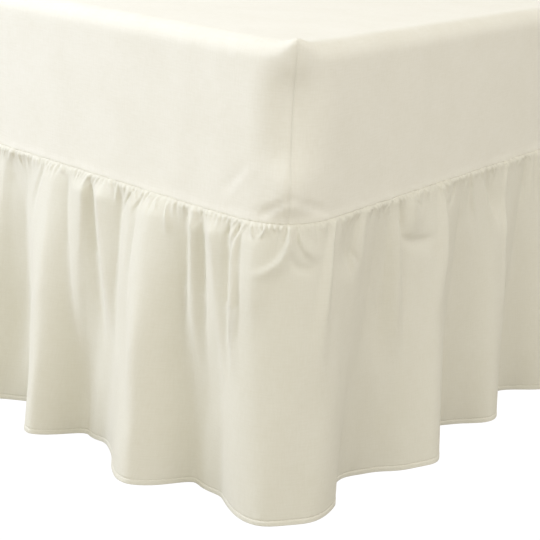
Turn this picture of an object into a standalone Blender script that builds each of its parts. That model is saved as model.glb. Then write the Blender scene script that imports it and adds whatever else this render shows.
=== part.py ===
"""Fitted bed skirt with a gathered frill, on a plain mattress and bed base.

Metres, +Z up.  The origin is on the floor, under the middle of the whole
piece.  X runs across the bed, Y along it, with the foot end at -Y.

Two coordinates place everything on the cloth.  "along" is the distance round
the bed along the sewn line, from the middle of the (+X, -Y) corner, growing
towards +Y on the +X side.  "down" is the distance below the sewn line.
"""

import math

import bpy
import numpy as np

# ---------------------------------------------------------------- dimensions
BED_WIDTH = 1.350            # over the cover's sides
BED_LENGTH = 1.900
CORNER_RADIUS = 0.076        # of the cover, seen from above
COVER_DEPTH = 0.230          # from the sewn line up to the top
COVER_EDGE_RADIUS = 0.025    # where the sides turn into the top
FRILL_DROP = 0.4025          # cloth length from the sewn line to the hem
HEM_CLEARANCE = 0.011        # floor to the lowest point of the hem
CLOTH = 0.002                # sheet thickness
TOUCH_GAP = 0.0003           # between pieces that rest on each other
SHARP_ANGLE = 75             # degrees between faces that are shaded as an edge

SEAM_HEIGHT = HEM_CLEARANCE + FRILL_DROP
TOP_HEIGHT = SEAM_HEIGHT + COVER_DEPTH

MATTRESS_CORNER_RADIUS = 0.095
MATTRESS_EDGE_RADIUS = 0.032
MATTRESS_STEPS = 5           # facets in a quarter turn
BASE_TOP = SEAM_HEIGHT - 0.007
BASE_INSET = 0.012           # of the base behind the cover's sides
BASE_CORNER_RADIUS = 0.100
BASE_EDGE_RADIUS = 0.010
BASE_STEPS = 4
FOOT_HEIGHT = 0.030
FOOT_RADIUS = 0.028
FOOT_CHAMFER = 0.002
FOOT_SIDES = 16
FOOT_INSET = 0.140           # of a foot's middle from the base's sides

# How the frill opens out below the sewn line: (down / drop) ** OPENING_POWER,
# eased in over the first few millimetres where the stitches hold it flat.
OPENING_POWER = 0.72
STITCHED_HEIGHT = 0.014

# ------------------------------------------------------- the seen main folds
# Crests and valleys of the frill on both sides of the (+X, -Y) corner.
# top: along at the sewn line;  hem: along at the hem;  reach: how far the hem
# stands out from the sewn line.
MAIN_FOLDS = (
    # top,    hem,    reach
    (-0.590, -0.560, 0.095),   # crest
    (-0.475, -0.452, 0.022),   # valley
    (-0.405, -0.374, 0.104),   # crest
    (-0.350, -0.322, 0.028),   # valley
    (-0.305, -0.294, 0.029),
    (-0.215, -0.174, 0.100),   # crest
    (-0.150, -0.116, 0.015),   # valley
    (-0.095, -0.076, 0.017),
    (-0.040, -0.007, 0.067),   # corner crest, a broad front
    (0.055, 0.020, 0.065),
    (0.155, 0.130, 0.009),     # valley
    (0.318, 0.252, 0.087),     # crest
    (0.390, 0.352, 0.014),     # valley
    (0.495, 0.438, 0.078),     # crest
    (0.575, 0.535, 0.020),     # valley
    (0.640, 0.610, 0.090),     # crest
)

# Smaller folds that start at the gathers and run out lower down, each along a
# straight line on the cloth.  A height above zero is a ridge, below a trough.
# The names read: along and down at its upper end, along and down at its lower
# end, half its width, and its height.
SMALL_FOLDS = (
    # along0, down0, along1, down1, half,  height
    (-0.530, 0.000, -0.487, 0.060, 0.012, 0.007),
    (-0.475, 0.000, -0.452, 0.150, 0.015, 0.009),
    (-0.430, 0.000, -0.408, 0.150, 0.015, 0.009),
    (-0.392, 0.000, -0.356, 0.215, 0.015, 0.010),
    (-0.345, 0.000, -0.268, 0.250, 0.018, 0.012),
    (-0.325, 0.000, -0.305, 0.090, 0.012, 0.007),
    (-0.282, 0.000, -0.245, 0.210, 0.016, 0.010),
    (-0.237, 0.000, -0.212, 0.190, 0.015, 0.010),
    (-0.188, 0.000, -0.184, 0.060, 0.012, 0.006),
    (-0.158, 0.000, -0.138, 0.190, 0.015, 0.011),
    (-0.141, 0.010, -0.118, 0.200, 0.013, -0.006),
    (-0.125, 0.000, -0.095, 0.160, 0.015, 0.010),
    (-0.077, 0.000, -0.052, 0.200, 0.014, 0.009),
    (-0.055, 0.000, -0.036, 0.110, 0.012, 0.007),
    (0.000, 0.000, -0.022, 0.075, 0.011, 0.006),
    (0.012, 0.000, 0.042, 0.060, 0.011, 0.005),
    (0.065, 0.000, 0.044, 0.260, 0.015, 0.008),
    (0.092, 0.000, 0.080, 0.090, 0.017, -0.008),
    (0.128, 0.000, 0.110, 0.085, 0.013, 0.007),
    (0.178, 0.000, 0.162, 0.150, 0.018, -0.008),
    (0.195, 0.000, 0.198, 0.170, 0.015, 0.008),
    (0.220, 0.000, 0.224, 0.085, 0.013, -0.008),
    (0.228, 0.074, 0.300, 0.090, 0.012, -0.006),
    (0.242, 0.000, 0.244, 0.080, 0.013, 0.007),
    (0.305, 0.000, 0.312, 0.130, 0.020, 0.008),
    (0.390, 0.000, 0.394, 0.085, 0.015, -0.007),
    (0.415, 0.000, 0.411, 0.085, 0.012, 0.007),
    (0.462, 0.000, 0.498, 0.085, 0.015, 0.008),
    (0.512, 0.000, 0.495, 0.150, 0.014, 0.008),
    (0.575, 0.000, 0.548, 0.090, 0.015, -0.008),
)

# A small fold rises over the first share of its length and runs out over the last.
FADE_IN = 0.12
FADE_OUT = 0.45
START_SHARE = 0.25

# The other sides go on in the same way, with folds spaced by this recipe.
FOLD_SPACING = (0.165, 0.225)       # crest to crest at the hem
CREST_REACH = (0.074, 0.102)
VALLEY_REACH = (0.010, 0.030)
VALLEY_PLACE = (0.42, 0.58)         # of a valley between its crests
FOLD_DRIFT = 0.022                  # how far a fold leans sideways
SMALL_PER_FOLD = 3
SMALL_LENGTH = (0.060, 0.220)
SMALL_HALF = (0.016, 0.024)
SMALL_HEIGHT = (0.007, 0.012)
SEED = 27

# Where the cloth is cut into finer columns, and the column widths.
SEEN_FROM, SEEN_TO = -0.63, 0.67
SEEN_COLUMN = 0.0087
OTHER_COLUMN = 0.0195
FRILL_ROWS = (0.0, 0.012, 0.045, 0.100, 0.175, 0.275, FRILL_DROP)

# The cover: rows up its sides, the hollow under each top corner, and the small
# peak above that hollow, where the corner seam ends.  Heights are over the
# sewn line.
COVER_SIDE_ROWS = (0.180, 0.155, 0.130, 0.100, 0.060, 0.0)
COVER_CORNER_STEPS = 8
COVER_EDGE_STEPS = 4
COVER_NEAR_CORNER = (0.0, 0.025, 0.060, 0.110)  # columns past the end of a corner
COVER_SIDE_STEPS = 4                            # and further along a side
CORNER_HOLLOW = (0.0055, 0.150, 0.040, 0.045)  # depth, height, half height, half width
CORNER_PEAK = (0.002, 0.030, 0.175)            # bulge, half width, height it starts at


# -------------------------------------------------------------------- shapes
def rounded_outline(along, width, length, radius):
    """Points and outward normals on a rounded rectangle, as a walk round it.

    The walk starts in the middle of the (+X, -Y) corner.  Each side and each
    corner is a stretch with its own start, and a corner turns 90 degrees.
    """
    quarter = 0.5 * math.pi * radius
    sides = (length - 2 * radius, width - 2 * radius)
    around = 4 * quarter + 2 * sum(sides)
    walked = np.mod(np.asarray(along, float) + 0.5 * quarter, around)
    points = np.zeros(walked.shape + (2,))
    normals = np.zeros_like(points)
    middle = np.array([0.5 * width - radius, -(0.5 * length - radius)])
    start = 0.0
    for corner in range(4):
        base_angle = 0.5 * math.pi * (corner - 1)
        on_corner = (walked >= start) & (walked < start + quarter)
        angle = base_angle + (walked[on_corner] - start) / radius
        normals[on_corner] = np.stack([np.cos(angle), np.sin(angle)], axis=-1)
        points[on_corner] = middle + radius * normals[on_corner]
        start += quarter
        side = sides[corner % 2]
        angle = base_angle + 0.5 * math.pi
        outward = np.array([math.cos(angle), math.sin(angle)])
        ahead = np.array([-outward[1], outward[0]])
        on_side = (walked >= start) & (walked < start + side)
        run = (walked[on_side] - start)[:, None]
        normals[on_side] = outward
        points[on_side] = middle + radius * outward + run * ahead
        start += side
        middle = middle + side * ahead
    return points, normals


def distance_around(width, length, radius):
    """Length of a rounded rectangle's outline."""
    return 2 * (width + length) - (8 - 2 * math.pi) * radius


AROUND = distance_around(BED_WIDTH, BED_LENGTH, CORNER_RADIUS)


def smooth_step(share):
    """0 to 1 with level ends."""
    share = np.clip(share, 0.0, 1.0)
    return share * share * (3.0 - 2.0 * share)


def fold_tables():
    """All main folds and small folds round the bed, the seen ones first."""
    draw = np.random.default_rng(SEED)
    main = list(MAIN_FOLDS)
    small = list(SMALL_FOLDS)
    position = MAIN_FOLDS[-1][1]
    last = AROUND + MAIN_FOLDS[0][1]
    count = round((last - position) / (0.5 * sum(FOLD_SPACING)))
    steps = draw.uniform(*FOLD_SPACING, count)
    steps *= (last - position) / steps.sum()
    for index, step in enumerate(steps):
        lean = draw.uniform(-FOLD_DRIFT, FOLD_DRIFT)
        valley = position + step * draw.uniform(*VALLEY_PLACE)
        main.append((valley + lean, valley, draw.uniform(*VALLEY_REACH)))
        for _ in range(SMALL_PER_FOLD):
            upper = position + step * draw.uniform(0.0, 1.0)
            slant = draw.uniform(-FOLD_DRIFT, FOLD_DRIFT)
            length = draw.uniform(*SMALL_LENGTH)
            half = draw.uniform(*SMALL_HALF)
            height = draw.uniform(*SMALL_HEIGHT)
            small.append((upper, 0.0, upper + slant, length, half, height))
        position += step
        if index < count - 1:
            lean = draw.uniform(-FOLD_DRIFT, FOLD_DRIFT)
            main.append((position + lean, position, draw.uniform(*CREST_REACH)))
    return np.array(main), np.array(small)


def main_reach(along, down, folds):
    """How far the main folds carry the cloth out, at one distance down."""
    share = down / FRILL_DROP
    places = folds[:, 0] + (folds[:, 1] - folds[:, 0]) * share
    places = np.maximum.accumulate(places)
    places = np.concatenate([places, [places[0] + AROUND]])
    reaches = np.concatenate([folds[:, 2], folds[:1, 2]])
    walked = places[0] + np.mod(along - places[0], AROUND)
    after = np.clip(np.searchsorted(places, walked, side="right"), 1, len(places) - 1)
    before = after - 1
    between = (walked - places[before]) / np.maximum(places[after] - places[before], 1e-6)
    blend = smooth_step(between)
    hem_reach = reaches[before] * (1.0 - blend) + reaches[after] * blend
    return hem_reach * share ** OPENING_POWER


def small_reach(along, down, folds):
    """What the small folds add: a rounded ridge along a line on the cloth."""
    total = np.zeros_like(along)
    for along0, down0, along1, down1, half, height in folds:
        length = math.hypot(along1 - along0, down1 - down0)
        ahead = ((along1 - along0) / length, (down1 - down0) / length)
        offset = np.mod(along - along0 + 0.5 * AROUND, AROUND) - 0.5 * AROUND
        run = (offset * ahead[0] + (down - down0) * ahead[1]) / length
        aside = (offset * ahead[1] - (down - down0) * ahead[0]) / half
        profile = 0.5 + 0.5 * np.cos(math.pi * np.clip(aside, -1.0, 1.0))
        fade = smooth_step(run / FADE_IN + START_SHARE) * smooth_step((1.0 - run) / FADE_OUT)
        total += height * profile * fade
    return total


def frill_columns():
    """Places of the columns: fine at the seen corner, coarser elsewhere."""
    seen = np.linspace(SEEN_FROM, SEEN_TO, round((SEEN_TO - SEEN_FROM) / SEEN_COLUMN) + 1)
    rest = AROUND - (SEEN_TO - SEEN_FROM)
    other = np.linspace(SEEN_TO, SEEN_TO + rest, round(rest / OTHER_COLUMN) + 1)
    return np.concatenate([seen, other[1:-1]])


def frill_surface():
    """Outer face of the frill as rows of points, from the sewn line down."""
    along = frill_columns()
    line, outward = rounded_outline(along, BED_WIDTH, BED_LENGTH, CORNER_RADIUS)
    main, small = fold_tables()
    rows = []
    for down in FRILL_ROWS:
        eased = smooth_step(down / STITCHED_HEIGHT)
        reach = main_reach(along, down, main) * eased
        fall = np.sqrt(np.maximum(down * down - reach * reach, 0.0))
        reach = reach + small_reach(along, down, small) * eased
        reach = np.maximum(reach, 0.0)
        height = np.full_like(along, SEAM_HEIGHT - TOUCH_GAP) - fall
        rows.append(np.column_stack([line + outward * reach[:, None], height]))
    return np.array(rows)


def surface_normals(rows):
    """Outward unit normals of a ring of rows that run downwards."""
    ahead = np.roll(rows, -1, axis=1) - np.roll(rows, 1, axis=1)
    below = np.gradient(rows, axis=0)
    normals = np.cross(below, ahead)
    return normals / np.linalg.norm(normals, axis=2, keepdims=True)


# ------------------------------------------------------------ making objects
def cloth_colour(name, colour, roughness):
    """A plain Principled material."""
    material = bpy.data.materials.new(name)
    material.use_nodes = True
    shader = material.node_tree.nodes["Principled BSDF"]
    shader.inputs["Base Color"].default_value = (*colour, 1.0)
    shader.inputs["Roughness"].default_value = roughness
    return material


def add_object(name, points, faces, material):
    """A smooth-shaded mesh object from points and faces."""
    mesh = bpy.data.meshes.new(name)
    mesh.from_pydata([tuple(point) for point in points], [], faces)
    mesh.shade_smooth()
    mesh.set_sharp_from_angle(angle=math.radians(SHARP_ANGLE))
    mesh.materials.append(material)
    item = bpy.data.objects.new(name, mesh)
    bpy.context.collection.objects.link(item)
    return item


def ring_faces(rows, columns):
    """Quads between rings of points that run downwards round a block."""
    faces = []
    for row in range(rows - 1):
        for column in range(columns):
            after = (column + 1) % columns
            upper = row * columns
            lower = upper + columns
            faces.append((upper + column, lower + column, lower + after, upper + after))
    return faces


def sheet_faces(outer):
    """Triangles of both faces of a sheet whose outer points are rings of rows.

    Each cell of the grid is cut along its shorter diagonal on the outer face,
    and the inner face is cut the same way, so that the walls stay parallel.
    The inner points follow the outer ones in the same order.
    """
    count, columns = outer.shape[:2]
    points = outer.reshape(-1, 3)
    place = np.arange(count * columns).reshape(count, columns)
    upper, lower = place[:-1], place[1:]
    upper_after, lower_after = np.roll(upper, -1, axis=1), np.roll(lower, -1, axis=1)
    falling = np.linalg.norm(points[upper] - points[lower_after], axis=2)
    rising = np.linalg.norm(points[lower] - points[upper_after], axis=2)
    cut_falling = np.array([[upper, lower, lower_after], [upper, lower_after, upper_after]])
    cut_rising = np.array([[upper, lower, upper_after], [lower, lower_after, upper_after]])
    triangles = np.where(falling <= rising, cut_falling, cut_rising)
    triangles = np.moveaxis(triangles, 1, -1).reshape(-1, 3)
    return triangles.tolist() + (triangles[:, ::-1] + count * columns).tolist()


def closed_block(rows):
    """Points and faces of a solid between a top cap and a bottom cap."""
    count, columns = rows.shape[:2]
    faces = ring_faces(count, columns)
    faces.append(tuple(range(columns)))
    faces.append(tuple(range(count * columns - 1, (count - 1) * columns - 1, -1)))
    return rows.reshape(-1, 3), faces


def rounded_block(width, length, radius, bottom, top, edge, arc_steps):
    """Rows of points for a block with rounded corners and rounded edges."""
    quarter = 0.5 * math.pi * radius
    sides = (length - 2 * radius, width - 2 * radius)
    along = []
    start = -0.5 * quarter
    for corner in range(4):
        along.extend(start + quarter * step / arc_steps for step in range(arc_steps + 1))
        start += quarter + sides[corner % 2]
    line, outward = rounded_outline(np.array(along), width, length, radius)
    levels = []
    for step in range(arc_steps + 1):
        turn = 0.5 * math.pi * step / arc_steps
        levels.append((edge * (1 - math.sin(turn)), top - edge * (1 - math.cos(turn))))
    for step in range(arc_steps + 1):
        turn = 0.5 * math.pi * step / arc_steps
        levels.append((edge * (1 - math.cos(turn)), bottom + edge * (1 - math.sin(turn))))
    rows = []
    for inset, height in levels:
        points = line - outward * inset
        rows.append(np.column_stack([points, np.full(len(points), height)]))
    return np.array(rows)


def make_frill(material, middle):
    """The gathered frill: one closed ring of sheet, hung from the sewn line."""
    outer = frill_surface()
    inner = outer - CLOTH * surface_normals(outer)
    inner[0, :, 2] = outer[0, :, 2]
    count, columns = outer.shape[:2]
    second = count * columns
    low = (count - 1) * columns
    faces = sheet_faces(outer)
    for column in range(columns):
        after = (column + 1) % columns
        faces.append((column, after, second + after, second + column))
        faces.append((low + after, low + column, second + low + column, second + low + after))
    points = np.concatenate([outer.reshape(-1, 3), inner.reshape(-1, 3)]) - middle
    return add_object("frill", points, faces, material)


def cover_columns():
    """Places round the cover: fine on the corners, a few on each side."""
    quarter = 0.5 * math.pi * CORNER_RADIUS
    sides = (BED_LENGTH - 2 * CORNER_RADIUS, BED_WIDTH - 2 * CORNER_RADIUS)
    places = []
    start = -0.5 * quarter
    for corner in range(4):
        places.extend(start + quarter * step / COVER_CORNER_STEPS for step in range(COVER_CORNER_STEPS))
        start += quarter
        side = sides[corner % 2]
        near = COVER_NEAR_CORNER
        far = tuple(side - place for place in reversed(near[1:]))
        middle = tuple(np.linspace(near[-1], far[0], COVER_SIDE_STEPS + 1)[1:-1])
        places.extend(start + place for place in near + middle + far)
        start += side
    return np.array(places)


def corner_distance(along):
    """Distance along the sewn line to the middle of the nearest corner."""
    quarter = 0.5 * math.pi * CORNER_RADIUS
    long_step = quarter + BED_LENGTH - 2 * CORNER_RADIUS
    short_step = quarter + BED_WIDTH - 2 * CORNER_RADIUS
    corners = np.cumsum([0.0, long_step, short_step, long_step])
    apart = np.mod(along[:, None] - corners[None, :] + 0.5 * AROUND, AROUND) - 0.5 * AROUND
    return np.abs(apart).min(axis=1)


def cover_rows(inward):
    """Rings of the cover's face, moved inward, from the top edge to the hem."""
    along = cover_columns()
    line, outward = rounded_outline(along, BED_WIDTH, BED_LENGTH, CORNER_RADIUS)
    depth, hollow_height, half_height, half_width = CORNER_HOLLOW
    bulge, peak_half, peak_from = CORNER_PEAK
    away = corner_distance(along)
    beside = np.exp(-(away / half_width) ** 2)
    peak = bulge * np.exp(-(away / peak_half) ** 2)
    radius = COVER_EDGE_RADIUS - inward
    top = TOP_HEIGHT - inward
    arc = [0.5 * math.pi * step / COVER_EDGE_STEPS for step in range(COVER_EDGE_STEPS + 1)]
    levels = [(inward + radius * (1 - math.sin(turn)), top - radius * (1 - math.cos(turn))) for turn in arc]
    levels += [(inward, SEAM_HEIGHT + height) for height in COVER_SIDE_ROWS]
    rows = []
    for inset, height in levels:
        over_seam = height - SEAM_HEIGHT
        hollow = depth * beside * math.exp(-((over_seam - hollow_height) / half_height) ** 2)
        on_top = smooth_step((over_seam - peak_from) / (COVER_DEPTH - COVER_EDGE_RADIUS - peak_from))
        points = line - outward * (inset + hollow - peak * on_top)[:, None]
        rows.append(np.column_stack([points, np.full(len(points), height)]))
    return np.array(rows)


def make_cover(material, middle):
    """The smooth fitted cover: one shell over the mattress, open below."""
    outer = cover_rows(0.0)
    inner = cover_rows(CLOTH)
    count, columns = outer.shape[:2]
    second = count * columns
    faces = sheet_faces(outer)
    faces.append(tuple(range(columns)))
    faces.append(tuple(range(second + columns - 1, second - 1, -1)))
    low = (count - 1) * columns
    for column in range(columns):
        after = (column + 1) % columns
        faces.append((low + after, low + column, second + low + column, second + low + after))
    points = np.concatenate([outer.reshape(-1, 3), inner.reshape(-1, 3)]) - middle
    return add_object("fitted_cover", points, faces, material)


def make_mattress(material, middle):
    """A plain mattress, 0.3 mm inside the cover's faces and clear of its edges."""
    inset = CLOTH + TOUCH_GAP
    rows = rounded_block(
        BED_WIDTH - 2 * inset, BED_LENGTH - 2 * inset, MATTRESS_CORNER_RADIUS,
        BASE_TOP + TOUCH_GAP, TOP_HEIGHT - inset,
        MATTRESS_EDGE_RADIUS, MATTRESS_STEPS)
    points, faces = closed_block(rows)
    return add_object("mattress", points - middle, faces, material)


def make_base(material, middle):
    """A plain bed base under the mattress, set back behind the frill."""
    rows = rounded_block(
        BED_WIDTH - 2 * BASE_INSET, BED_LENGTH - 2 * BASE_INSET, BASE_CORNER_RADIUS,
        FOOT_HEIGHT + TOUCH_GAP, BASE_TOP,
        BASE_EDGE_RADIUS, BASE_STEPS)
    points, faces = closed_block(rows)
    return add_object("bed_base", points - middle, faces, material)


def make_feet(material, middle):
    """Six round feet under the base: two rows of three."""
    across = 0.5 * BED_WIDTH - BASE_INSET - FOOT_INSET
    lengthwise = 0.5 * BED_LENGTH - BASE_INSET - FOOT_INSET
    turns = np.linspace(0.0, 2 * math.pi, FOOT_SIDES, endpoint=False)
    circle = np.column_stack([np.cos(turns), np.sin(turns)])
    profile = (
        (FOOT_RADIUS, FOOT_HEIGHT),
        (FOOT_RADIUS, FOOT_CHAMFER),
        (FOOT_RADIUS - FOOT_CHAMFER, 0.0),
    )
    number = 1
    for side in (-1, 1):
        for step in (-1, 0, 1):
            centre = np.array([side * across, step * lengthwise])
            rows = []
            for radius, height in profile:
                points = centre + radius * circle
                rows.append(np.column_stack([points, np.full(len(points), height)]))
            points, faces = closed_block(np.array(rows))
            add_object(f"foot_{number}", points - middle, faces, material)
            number += 1


def main():
    """Clear the scene and build every piece."""
    for item in list(bpy.data.objects):
        bpy.data.objects.remove(item)
    reach = frill_surface().reshape(-1, 3)[:, :2]
    middle = np.array([*(0.5 * (reach.min(axis=0) + reach.max(axis=0))), 0.0])
    cloth = cloth_colour("cream_cotton", (0.86, 0.83, 0.74), 0.85)
    ticking = cloth_colour("mattress_ticking", (0.82, 0.80, 0.76), 0.90)
    board = cloth_colour("base_fabric", (0.62, 0.58, 0.52), 0.90)
    plastic = cloth_colour("foot_plastic", (0.06, 0.06, 0.06), 0.50)
    make_cover(cloth, middle)
    make_frill(cloth, middle)
    make_mattress(ticking, middle)
    make_base(board, middle)
    make_feet(plastic, middle)


main()
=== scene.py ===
"""A bed skirt on its mattress and bed base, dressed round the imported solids.

Metres, +Z up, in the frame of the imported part.  Two coordinates place
everything on the cloth.  "along" is the distance round the bed on the sewn
line, from the middle of the (+X, -Y) corner, growing towards +Y on the +X
side.  "down" is the distance below the sewn line, and "up" the height over it.
"""

from __future__ import annotations

import logging
import math
from dataclasses import dataclass, field
from enum import Enum, IntEnum

import bpy
import numpy as np
from mathutils import Matrix, Vector

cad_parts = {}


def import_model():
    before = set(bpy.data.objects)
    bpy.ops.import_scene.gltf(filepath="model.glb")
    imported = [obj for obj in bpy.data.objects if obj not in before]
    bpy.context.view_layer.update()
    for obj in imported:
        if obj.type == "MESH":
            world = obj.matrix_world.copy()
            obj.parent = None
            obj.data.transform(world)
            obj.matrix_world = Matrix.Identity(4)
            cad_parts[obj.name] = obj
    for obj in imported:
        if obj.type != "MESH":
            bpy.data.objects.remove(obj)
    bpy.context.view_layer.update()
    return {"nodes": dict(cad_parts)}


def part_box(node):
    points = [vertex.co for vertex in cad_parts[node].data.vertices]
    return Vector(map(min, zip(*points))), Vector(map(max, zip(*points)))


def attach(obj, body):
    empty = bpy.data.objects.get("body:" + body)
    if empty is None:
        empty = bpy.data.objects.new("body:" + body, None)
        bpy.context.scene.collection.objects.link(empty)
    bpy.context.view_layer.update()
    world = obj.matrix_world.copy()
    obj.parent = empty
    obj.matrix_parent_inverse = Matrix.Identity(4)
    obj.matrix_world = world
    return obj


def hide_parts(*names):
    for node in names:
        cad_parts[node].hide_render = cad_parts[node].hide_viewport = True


LOG = logging.getLogger("bed_skirt")
MILLIMETRE = 0.001

# Steps of the fine ruler on which a spacing is summed.
RULER_STEPS = 4000

# Two folds are taken to lie at least this far apart, so that no share divides by zero.
LEAST_GAP = 1.0e-6

# A vector shorter than this has no direction.
NO_LENGTH = 1.0e-12

# How many waves each sine of a soft wave has, over the usual number, and the
# least and most strength that is drawn for one.
WAVE_SHARES = (0.62, 0.83, 1.0, 1.31, 1.74)
WAVE_STRENGTH = (0.35, 0.65)


class Hold(Enum):
    """How a sheet of cloth is held."""

    STRETCHED = "stretched"
    GATHERED = "gathered"


class Slot(Enum):
    """Names for the material slots, listed with the finishes in dress_nodes."""

    COTTON = "cream_cotton"
    TICKING = "mattress_ticking"
    BASE_CLOTH = "base_fabric"
    PLASTIC = "foot_plastic"


class Seed(IntEnum):
    """Seeds of the draws, one for each thing that is drawn."""

    FOLDS = 27
    FINE_GATHERS = 101
    BROAD_GATHERS = 202
    THREAD_PULL = 71
    FRILL_WAVE = 33
    COVER_WAVE = 5


# --------------------------------------------------------------------- maths
def smooth_step(share: np.ndarray | float) -> np.ndarray | float:
    """Ease from 0 to 1 with level ends: 3 s^2 - 2 s^3.

    Args:
        share: Any value; it is held between 0 and 1 first.

    Returns:
        The eased value.
    """
    held = np.clip(share, 0.0, 1.0)
    return held * held * (3.0 - 2.0 * held)


def bell(offset: np.ndarray, half: float) -> np.ndarray:
    """A rounded hump, exp(-(offset / half)^2)."""
    return np.exp(-((offset / half) ** 2))


def spread(length: float, start: float, end: float, widest: float, growth: float) -> np.ndarray:
    """Places from 0 to a length, close together at its ends.

    The spacing at a place t is the least of widest, start + growth * t and
    end + growth * (length - t).  The places are evenly spaced in the integral
    of 1 / spacing.

    Args:
        length: The distance to divide.
        start: Spacing at its start.
        end: Spacing at its end.
        widest: The most that the spacing grows to.
        growth: How much the spacing grows per metre from an end.

    Returns:
        The places, with both ends.
    """
    fine = np.linspace(0.0, length, RULER_STEPS + 1)
    from_ends = np.minimum(start + growth * fine, end + growth * (length - fine))
    spacing = np.minimum(widest, from_ends)
    density = 1.0 / spacing
    steps = 0.5 * (density[1:] + density[:-1]) * np.diff(fine)
    cells = np.concatenate([[0.0], np.cumsum(steps)])
    count = math.ceil(cells[-1])
    return np.interp(np.linspace(0.0, cells[-1], count + 1), cells, fine)


def wrap(distance: np.ndarray, around: float) -> np.ndarray:
    """A distance round the bed, taken the shorter way, so within half of it."""
    return np.mod(distance + 0.5 * around, around) - 0.5 * around


def soft_noise(place: np.ndarray, wave: float, seed: int, around: float) -> np.ndarray:
    """A smooth random wave that closes on itself round the bed.

    It is a sum of five sines with whole numbers of waves round the bed, near
    around / wave, each with its own seeded phase and strength.

    Args:
        place: Places along the sewn line.
        wave: The usual wavelength.
        seed: Which wave.
        around: The distance round the bed.

    Returns:
        Values mostly between -1 and 1.
    """
    draw = np.random.default_rng(seed)
    total = np.zeros_like(place)
    for share in WAVE_SHARES:
        waves = max(1, round(around / wave * share))
        phase = draw.uniform(0.0, 2.0 * math.pi)
        strength = draw.uniform(*WAVE_STRENGTH)
        total += strength * np.sin(2.0 * math.pi * waves * place / around + phase)
    return total


# ------------------------------------------------------------------- outline
@dataclass(frozen=True)
class Outline:
    """The rounded rectangle that the sewn line follows, walked from one corner."""

    width: float = 1.350
    length: float = 1.900
    corner: float = 0.076
    middle_x: float = 0.0
    middle_y: float = 0.0

    @property
    def quarter(self) -> float:
        """Length of one corner's arc."""
        return 0.5 * math.pi * self.corner

    @property
    def long_step(self) -> float:
        """From one corner's middle to the next, down a long side."""
        return self.quarter + self.length - 2.0 * self.corner

    @property
    def short_step(self) -> float:
        """From one corner's middle to the next, across a short side."""
        return self.quarter + self.width - 2.0 * self.corner

    @property
    def around(self) -> float:
        """The whole way round."""
        return 2.0 * (self.long_step + self.short_step)

    @property
    def corner_places(self) -> np.ndarray:
        """Along of the four corners' middles, the seen one first."""
        return np.cumsum([0.0, self.long_step, self.short_step, self.long_step])

    def walk(self, along: np.ndarray) -> tuple[np.ndarray, np.ndarray]:
        """Points and outward normals on the outline.

        On a corner the point is its centre plus the radius times
        (cos a, sin a), with a = start angle + run / radius; on a side it is
        the side's start plus the run times the side's direction.

        Args:
            along: Places round the outline, of any shape.

        Returns:
            Points and unit normals, each with a last axis of 2.
        """
        sides = (self.length - 2.0 * self.corner, self.width - 2.0 * self.corner)
        walked = np.mod(np.asarray(along, float) + 0.5 * self.quarter, self.around)
        points = np.zeros(walked.shape + (2,))
        normals = np.zeros_like(points)
        centre = np.array([0.5 * self.width - self.corner, self.corner - 0.5 * self.length])
        start = 0.0
        for turn in range(4):
            first_angle = 0.5 * math.pi * (turn - 1)
            on_corner = (walked >= start) & (walked < start + self.quarter)
            angle = first_angle + (walked[on_corner] - start) / self.corner
            normals[on_corner] = np.stack([np.cos(angle), np.sin(angle)], axis=-1)
            points[on_corner] = centre + self.corner * normals[on_corner]
            start += self.quarter
            side = sides[turn % 2]
            angle = first_angle + 0.5 * math.pi
            outward = np.array([math.cos(angle), math.sin(angle)])
            ahead = np.array([-outward[1], outward[0]])
            on_side = (walked >= start) & (walked < start + side)
            run = (walked[on_side] - start)[..., None]
            normals[on_side] = outward
            points[on_side] = centre + self.corner * outward + run * ahead
            start += side
            centre = centre + side * ahead
        return points + np.array([self.middle_x, self.middle_y]), normals

    def corner_offset(self, along: np.ndarray) -> np.ndarray:
        """Signed distance along the outline from the nearest corner's middle.

        Args:
            along: Places round the outline, of any shape.

        Returns:
            Distances in metres, above zero past the corner.
        """
        apart = wrap(along[..., None] - self.corner_places, self.around)
        nearest = np.abs(apart).argmin(axis=-1)
        return np.take_along_axis(apart, nearest[..., None], axis=-1)[..., 0]


# --------------------------------------------------------------------- folds
@dataclass(frozen=True)
class SewnLine:
    """How far the sewn line rides up where the corner seam and the far side pull it."""

    around: float
    places: tuple[float, ...] = (-0.120, 0.000, 0.080, 0.600, 0.850)
    lifts: tuple[float, ...] = (0.0, 0.0040, 0.0035, 0.0025, 0.0)
    rounding: float = 0.03

    def lift(self, along: np.ndarray) -> np.ndarray:
        """Height over the level line.

        It goes straight from one of the lifts to the next, and is rounded: it
        is the mean of the height one rounding before, that here, counted
        twice, and that one rounding after.

        Args:
            along: Places along the sewn line.

        Returns:
            Heights in metres.
        """
        walked = wrap(along, self.around)
        before, here, after = (
            np.interp(walked + shift, self.places, self.lifts)
            for shift in (-self.rounding, 0.0, self.rounding)
        )
        return (before + 2.0 * here + after) / 4.0


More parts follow.
